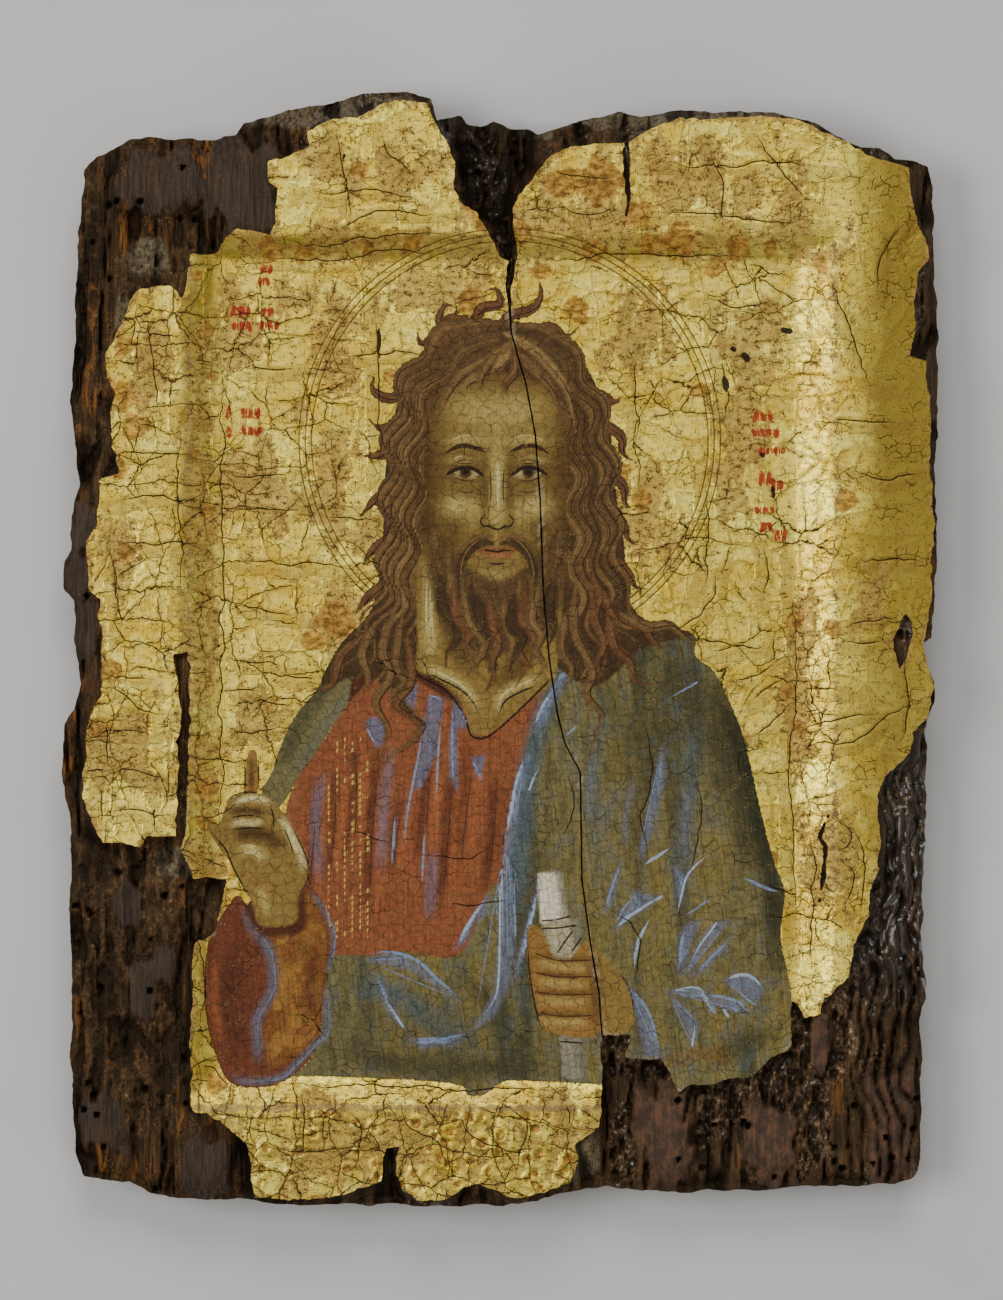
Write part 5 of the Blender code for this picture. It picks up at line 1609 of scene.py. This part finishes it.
def lineMask(nodes, name, fuzz, soft=0.06, guard=0.38):
    # Sharp mask of the lines kept in an attribute as distance, side offset and half width
    parts = nodes.add("ShaderNodeSeparateXYZ", (nodes.attribute(name, "Vector"),), None)
    gap, offset, half = parts.outputs
    half = nodes.plus(half, nodes.times(fuzz, 0.16))
    core = nodes.ramp(nodes.minus(half, nodes.calc("ABSOLUTE", offset)), -soft, soft)
    close = nodes.ramp(nodes.minus(nodes.plus(half, guard), gap), -0.05, 0.05)
    return nodes.times(core, close)


def makeGround():
    material, n, shader, place = newMaterial("gildedGround")
    worn, stained, rubbed, smoothAndShaded = n.channels("state")
    fuzz = n.minus(n.cloud(place, 0.9, 3.0, 0.6), 0.5)
    grain = n.cloud(place, 0.42, 2.0, 0.6)
    mottle = n.cloud(place, (1.9, 1.3), 4.0, 0.65)
    gap, tone = useGroup(n, crackGroup, place, n.attribute("openness"))
    tone = n.add("ShaderNodeSeparateColor", (tone,))
    crack = n.most(n.ramp(gap, 0.07, -0.07), lineMask(n, "split", fuzz, soft=0.05, guard=0.3))
    halo = n.most(n.ramp(gap, 0.9, 0.0), n.ramp(n.attribute("split", "Vector"), 1.1, 0.1))
    hairGap, _ = crackLines(n, n.shaken(place, place, 2.2, 1.6), crackSettings["hair"])
    hair = n.times(n.ramp(hairGap, 0.17, 0.03), n.most(
        n.ramp(n.cloud(place, 6.0), 0.5, 0.66), n.times(n.ramp(n.attribute("figure"), 0.0, 1.0), 0.6)))
    figure = n.ramp(n.plus(n.attribute("figure"), n.times(fuzz, 0.7)), -0.1, 0.12)
    bareGold = n.calc("SUBTRACT", 1.0, figure, clamp=True)

    # Gold leaf: pale where it is whole, brown where it is rubbed through to the bole, and darker on the
    # smooth right border as painted shade
    leaf = n.coats(
        n.blend(n.ramp(n.cloud(place, 22.0), 0.3, 0.7), pigment(224, 191, 66), pigment(246, 225, 96)),
        (n.ramp(n.cloud(place, (4.5, 3.2), 3.0), 0.4, 0.62), 0.45, pigment(254, 240, 126)),
        (n.ramp(tone, 0.2, 0.9), 0.4, pigment(200, 158, 46)),
        (smoothAndShaded, 0.95, pigment(130, 112, 46)),
        (n.ramp(mottle, 0.35, 0.7), 0.35, pigment(172, 134, 52)),
        (n.ramp(n.cloud(place, (0.3, 7.0), 2.0, 0.6), 0.6, 0.72), 0.5, pigment(140, 108, 48)))
    rough = n.plus(n.times(mottle, 1.1), n.times(grain, 0.5))
    upright = n.times(n.cloud(place, (0.7, 4.0), 3.0, 0.6), 1.2)
    rubbing = n.plus(n.minus(worn, n.times(smoothAndShaded, 0.3)), n.minus(n.plus(rough, upright), 1.4))
    thinned = n.ramp(rubbing, 0.38, 0.66)
    tan = n.blend(n.ramp(n.plus(grain, mottle), 0.8, 1.3), pigment(194, 154, 80), pigment(122, 88, 48))
    wearing = n.minus(n.plus(rough, n.times(worn, 0.08)), n.times(smoothAndShaded, 0.08))
    pinned = n.times(n.ramp(grain, 0.59, 0.66), n.ramp(mottle, 0.4, 0.6))
    rubbedOut = n.most(n.ramp(wearing, 0.97, 1.06), pinned)
    stain = n.times(n.ramp(n.plus(stained, n.times(fuzz, 0.6)), 0.3, 0.7), 0.75)
    stainTone = n.blend(n.ramp(mottle, 0.35, 0.6), pigment(204, 146, 60), pigment(128, 84, 34))
    broken = n.plus(n.times(rubbed, 0.8), n.minus(rough, 0.8))
    grey = n.times(n.ramp(broken, 0.68, 0.9), 0.65)
    colour = n.coats(leaf, (thinned, 0.68, tan), (rubbedOut, 0.85, pigment(88, 62, 34)))
    colour = n.blend(stain, colour, stainTone)
    colour = n.blend(grey, colour, pigment(150, 122, 86))

    # Scored rings: a thin dark line at each radius
    reach = n.vector("DISTANCE", n.vector("MULTIPLY", place, (1, 1, 0)), (*nimbus["middle"], 0))
    lines = [n.plus(radius, n.times(fuzz, 0.12)) for radius in nimbus["radii"]]
    marks = [n.ramp(n.calc("ABSOLUTE", n.minus(reach, line)), 0.2, 0.06) for line in lines]
    rings = n.times(n.most(*marks), bareGold)
    colour = n.coats(colour, (halo, 0.35, pigment(124, 94, 48)), (rings, 0.8, pigment(84, 62, 30)))

    # Painted figure: streaks follow the brush, with small losses and dark pores
    paint = n.attribute("paint", None).outputs
    stroke = n.cloud(n.attribute("brush", "Vector"), (0.55, 9.0), 3.0, 0.6)
    shade = n.times(n.plus(0.35, n.times(stroke, 1.3)), paint["Alpha"])
    shade = n.times(n.plus(shade, n.rest(paint["Alpha"])), n.ramp(mottle, 0.25, 0.75, 0.78, 1.22))
    painted = n.scaled(paint["Color"], shade)
    lost = n.times(n.ramp(grain, 0.58, 0.68), n.ramp(n.cloud(place, 3.4, 3.0), 0.5, 0.64))
    painted = n.coats(painted, (n.ramp(grain, 0.58, 0.7), 0.4, pigment(44, 32, 20)),
                      (lost, 0.75, pigment(150, 126, 78)))
    colour = n.blend(figure, colour, painted)
    drawn = n.times(lineMask(n, "drawn", fuzz), n.ramp(n.cloud(place, 1.4), 0.24, 0.4, 0.35, 0.95))
    colour = n.blend(drawn, colour, n.attribute("ink", "Color"))
    colour = n.coats(colour, (hair, 0.64, pigment(44, 31, 18)), (crack, 0.95, pigment(28, 20, 12)))

    # Broken edge: the chalky ground, grimy towards the wood
    rim = n.ramp(n.plus(n.attribute("rim"), n.times(fuzz, 0.3)), 0.1, 0.35)
    grit = useGroup(n, dustGroup, place, 1.0)[0]
    chalk = n.blend(n.ramp(mottle, 0.35, 0.65), pigment(88, 74, 52), pigment(158, 142, 108))
    chalk = n.blend(grit, chalk, pigment(196, 184, 156))

    leafShare = n.times(bareGold, n.rest(rim), n.rest(crack), n.rest(rubbedOut, 0.75), n.rest(thinned, 0.55),
                        n.rest(grey, 0.6), n.rest(stain, 0.5), n.rest(drawn, 0.9))
    height = n.times(hair, -0.06)
    cupped = n.times(halo, bareGold, n.rest(smoothAndShaded, 0.8))
    for part, depth in ((crack, -0.12), (cupped, 0.07), (rubbedOut, -0.035), (grain, 0.03), (rings, -0.06)):
        height = n.plus(height, n.times(part, depth))
    height = n.plus(height, n.times(stroke, figure, 0.05), n.times(mottle, rim, 0.3))
    n.fill(shader, {
        "Base Color": n.blend(rim, colour, chalk),
        "Metallic": n.times(leafShare, 0.8),
        "Roughness": n.plus(n.ramp(mottle, 0.3, 0.7, 0.32, 0.42), n.times(n.rest(leafShare), 0.16)),
        "Specular IOR Level": 0.14,
        "Normal": n.bump(height),
    })
    return material


def makeWood():
    material, n, shader, place = newMaterial("wormEatenWood")
    orange, sound, dusty, hollowShade = n.channels("woodState")
    sunk, rise, crumbly, wet = n.channels("woodForm")
    fibre = n.cloud(place, (0.7, 12.0, 0.7), 4.0, 0.6)
    band = n.cloud(place, (4.0, 40.0, 4.0), 3.0, 0.6)
    crumb = n.cloud(place, (0.8, 1.1, 0.8), 4.0, 0.7)
    warm = n.cloud(place, (2.0, 17.0, 2.0), 4.0, 0.6)
    onRight = n.ramp(n.add("ShaderNodeSeparateXYZ", (place,)), 5.0, 30.0)
    glow = n.ramp(n.plus(warm, n.times(orange, 0.3)), 0.56, 0.7)
    lumps = n.blend(n.ramp(crumb, 0.38, 0.62), pigment(34, 25, 19), pigment(118, 92, 66))
    greyPlain = n.blend(n.ramp(fibre, 0.3, 0.7), pigment(40, 34, 31), pigment(62, 53, 48))
    patchy = n.cloud(place, (2.6, 3.6), 4.0, 0.65)
    redPlain = n.blend(n.ramp(n.plus(n.times(fibre, 0.5), patchy), 0.6, 0.94),
                       pigment(56, 46, 42), pigment(92, 66, 52))
    grit = useGroup(n, dustGroup, place, n.rest(sound, 0.7))[0]
    # Painted glints: small pale flecks where the crumbly wood stands highest
    flecks = n.times(n.ramp(crumb, 0.62, 0.68), n.ramp(crumbly, 0.2, 0.8))
    colour = n.coats(
        n.blend(n.ramp(fibre, 0.35, 0.66), pigment(26, 18, 12), pigment(88, 62, 38)),
        (n.ramp(band, 0.42, 0.6), 0.6, pigment(36, 22, 13)),
        (n.times(glow, n.ramp(fibre, 0.38, 0.58)), 0.7, pigment(138, 84, 36)),
        (onRight, 0.22, pigment(84, 72, 58)),
        (crumbly, 0.75, lumps),
        (sound, 0.88, n.blend(onRight, greyPlain, redPlain)),
        (n.times(dusty, n.ramp(crumb, 0.35, 0.58)), 0.8, pigment(112, 104, 84)),
        (grit, 0.5, pigment(150, 112, 66)),
        # painted glints on the crumbly wood
        (flecks, 0.8, pigment(206, 168, 108)))
    # Painted shade and light: darker where the wood lies low, deep below the top, or in worm holes and
    # crumbly hollows, lighter on raised wood
    shade = n.times(n.ramp(rise, -1.1, 0.45, 0.16, 1.45), n.ramp(sunk, 2.0, 8.0, 1.0, 0.3),
                    n.ramp(hollowShade, 0.5, 1.0, 1.0, 0.1))
    glaze = n.most(wet, n.times(n.ramp(crumbly, 0.5, 1.0), n.ramp(crumb, 0.5, 0.58)))
    n.fill(shader, {
        "Base Color": n.scaled(colour, n.times(shade, n.ramp(wet, 0.0, 1.0, 1.0, 0.45))),
        "Roughness": n.ramp(crumb, 0.35, 0.65, 0.3, 0.62),
        "Coat Weight": n.times(glaze, 0.8),
        "Coat Roughness": 0.16,
        "Specular IOR Level": 0.3,
        "Specular Tint": pigment(255, 226, 184),
        "Normal": n.bump(n.plus(n.times(fibre, 0.45), n.times(crumb, 0.35))),
    })
    return material


print("materials")
ground = makeGround()
wood = makeWood()
for plate in plates.values():
    plate.data.materials.append(ground)
board.data.materials.append(wood)

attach(board, "root")
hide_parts("wooden_board")
for node, plate in plates.items():
    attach(plate, "root")
    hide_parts(node)


# Stage, light and camera

def makeStage():
    bm = bmesh.new()
    bmesh.ops.create_grid(bm, x_segments=1, y_segments=1, size=1.6)
    bmesh.ops.translate(bm, verts=bm.verts, vec=(0, 0, -0.0002))
    floor = asPiece("paper_floor", bm)
    material, n, shader, place = newMaterial("palePaper")
    n.fill(shader, {
        "Base Color": n.blend(n.cloud(place, 60.0), pigment(214, 212, 208), pigment(226, 224, 220)),
        "Roughness": 0.9,
    })
    floor.data.materials.append(material)


def areaLight(name, place, size, power):
    lamp = bpy.data.lights.new(name, "AREA")
    lamp.shape = "SQUARE"
    lamp.size = size
    lamp.energy = power
    light = bpy.data.objects.new(name, lamp)
    light.location = place
    light.rotation_euler = (-Vector(place)).to_track_quat("-Z", "Y").to_euler()
    bpy.context.collection.objects.link(light)


print("stage")
makeStage()
areaLight("overheadSoftbox", (0.1, 0.1, 2.2), 1.2, 4.75)
areaLight("leftSoftbox", (-0.9, 0.05, 1.35), 0.7, 10.5)
areaLight("cornerFill", (0.72, -0.66, 1.25), 0.7, 2.0)
areaLight("topSoftbox", (0.05, 0.92, 1.3), 0.7, 7.5)
world = bpy.data.worlds.new("studio")
world.use_nodes = True
world.node_tree.nodes["Background"].inputs[0].default_value = (0.2, 0.2, 0.2, 1)
bpy.context.scene.world = world

# The view is as tall as this at the height of the gilded ground
view = {"distance": 1.4, "ground": 0.0205, "tall": 0.2921, "middle": (0.0003, -0.0002)}
camera = bpy.data.cameras.new("camera")
camera.sensor_fit = "VERTICAL"
camera.sensor_height = 36.0
camera.lens = camera.sensor_height * (view["distance"] - view["ground"]) / view["tall"]
cameraObject = bpy.data.objects.new("camera", camera)
cameraObject.location = (*view["middle"], view["distance"])
bpy.context.collection.objects.link(cameraObject)
bpy.context.scene.camera = cameraObject
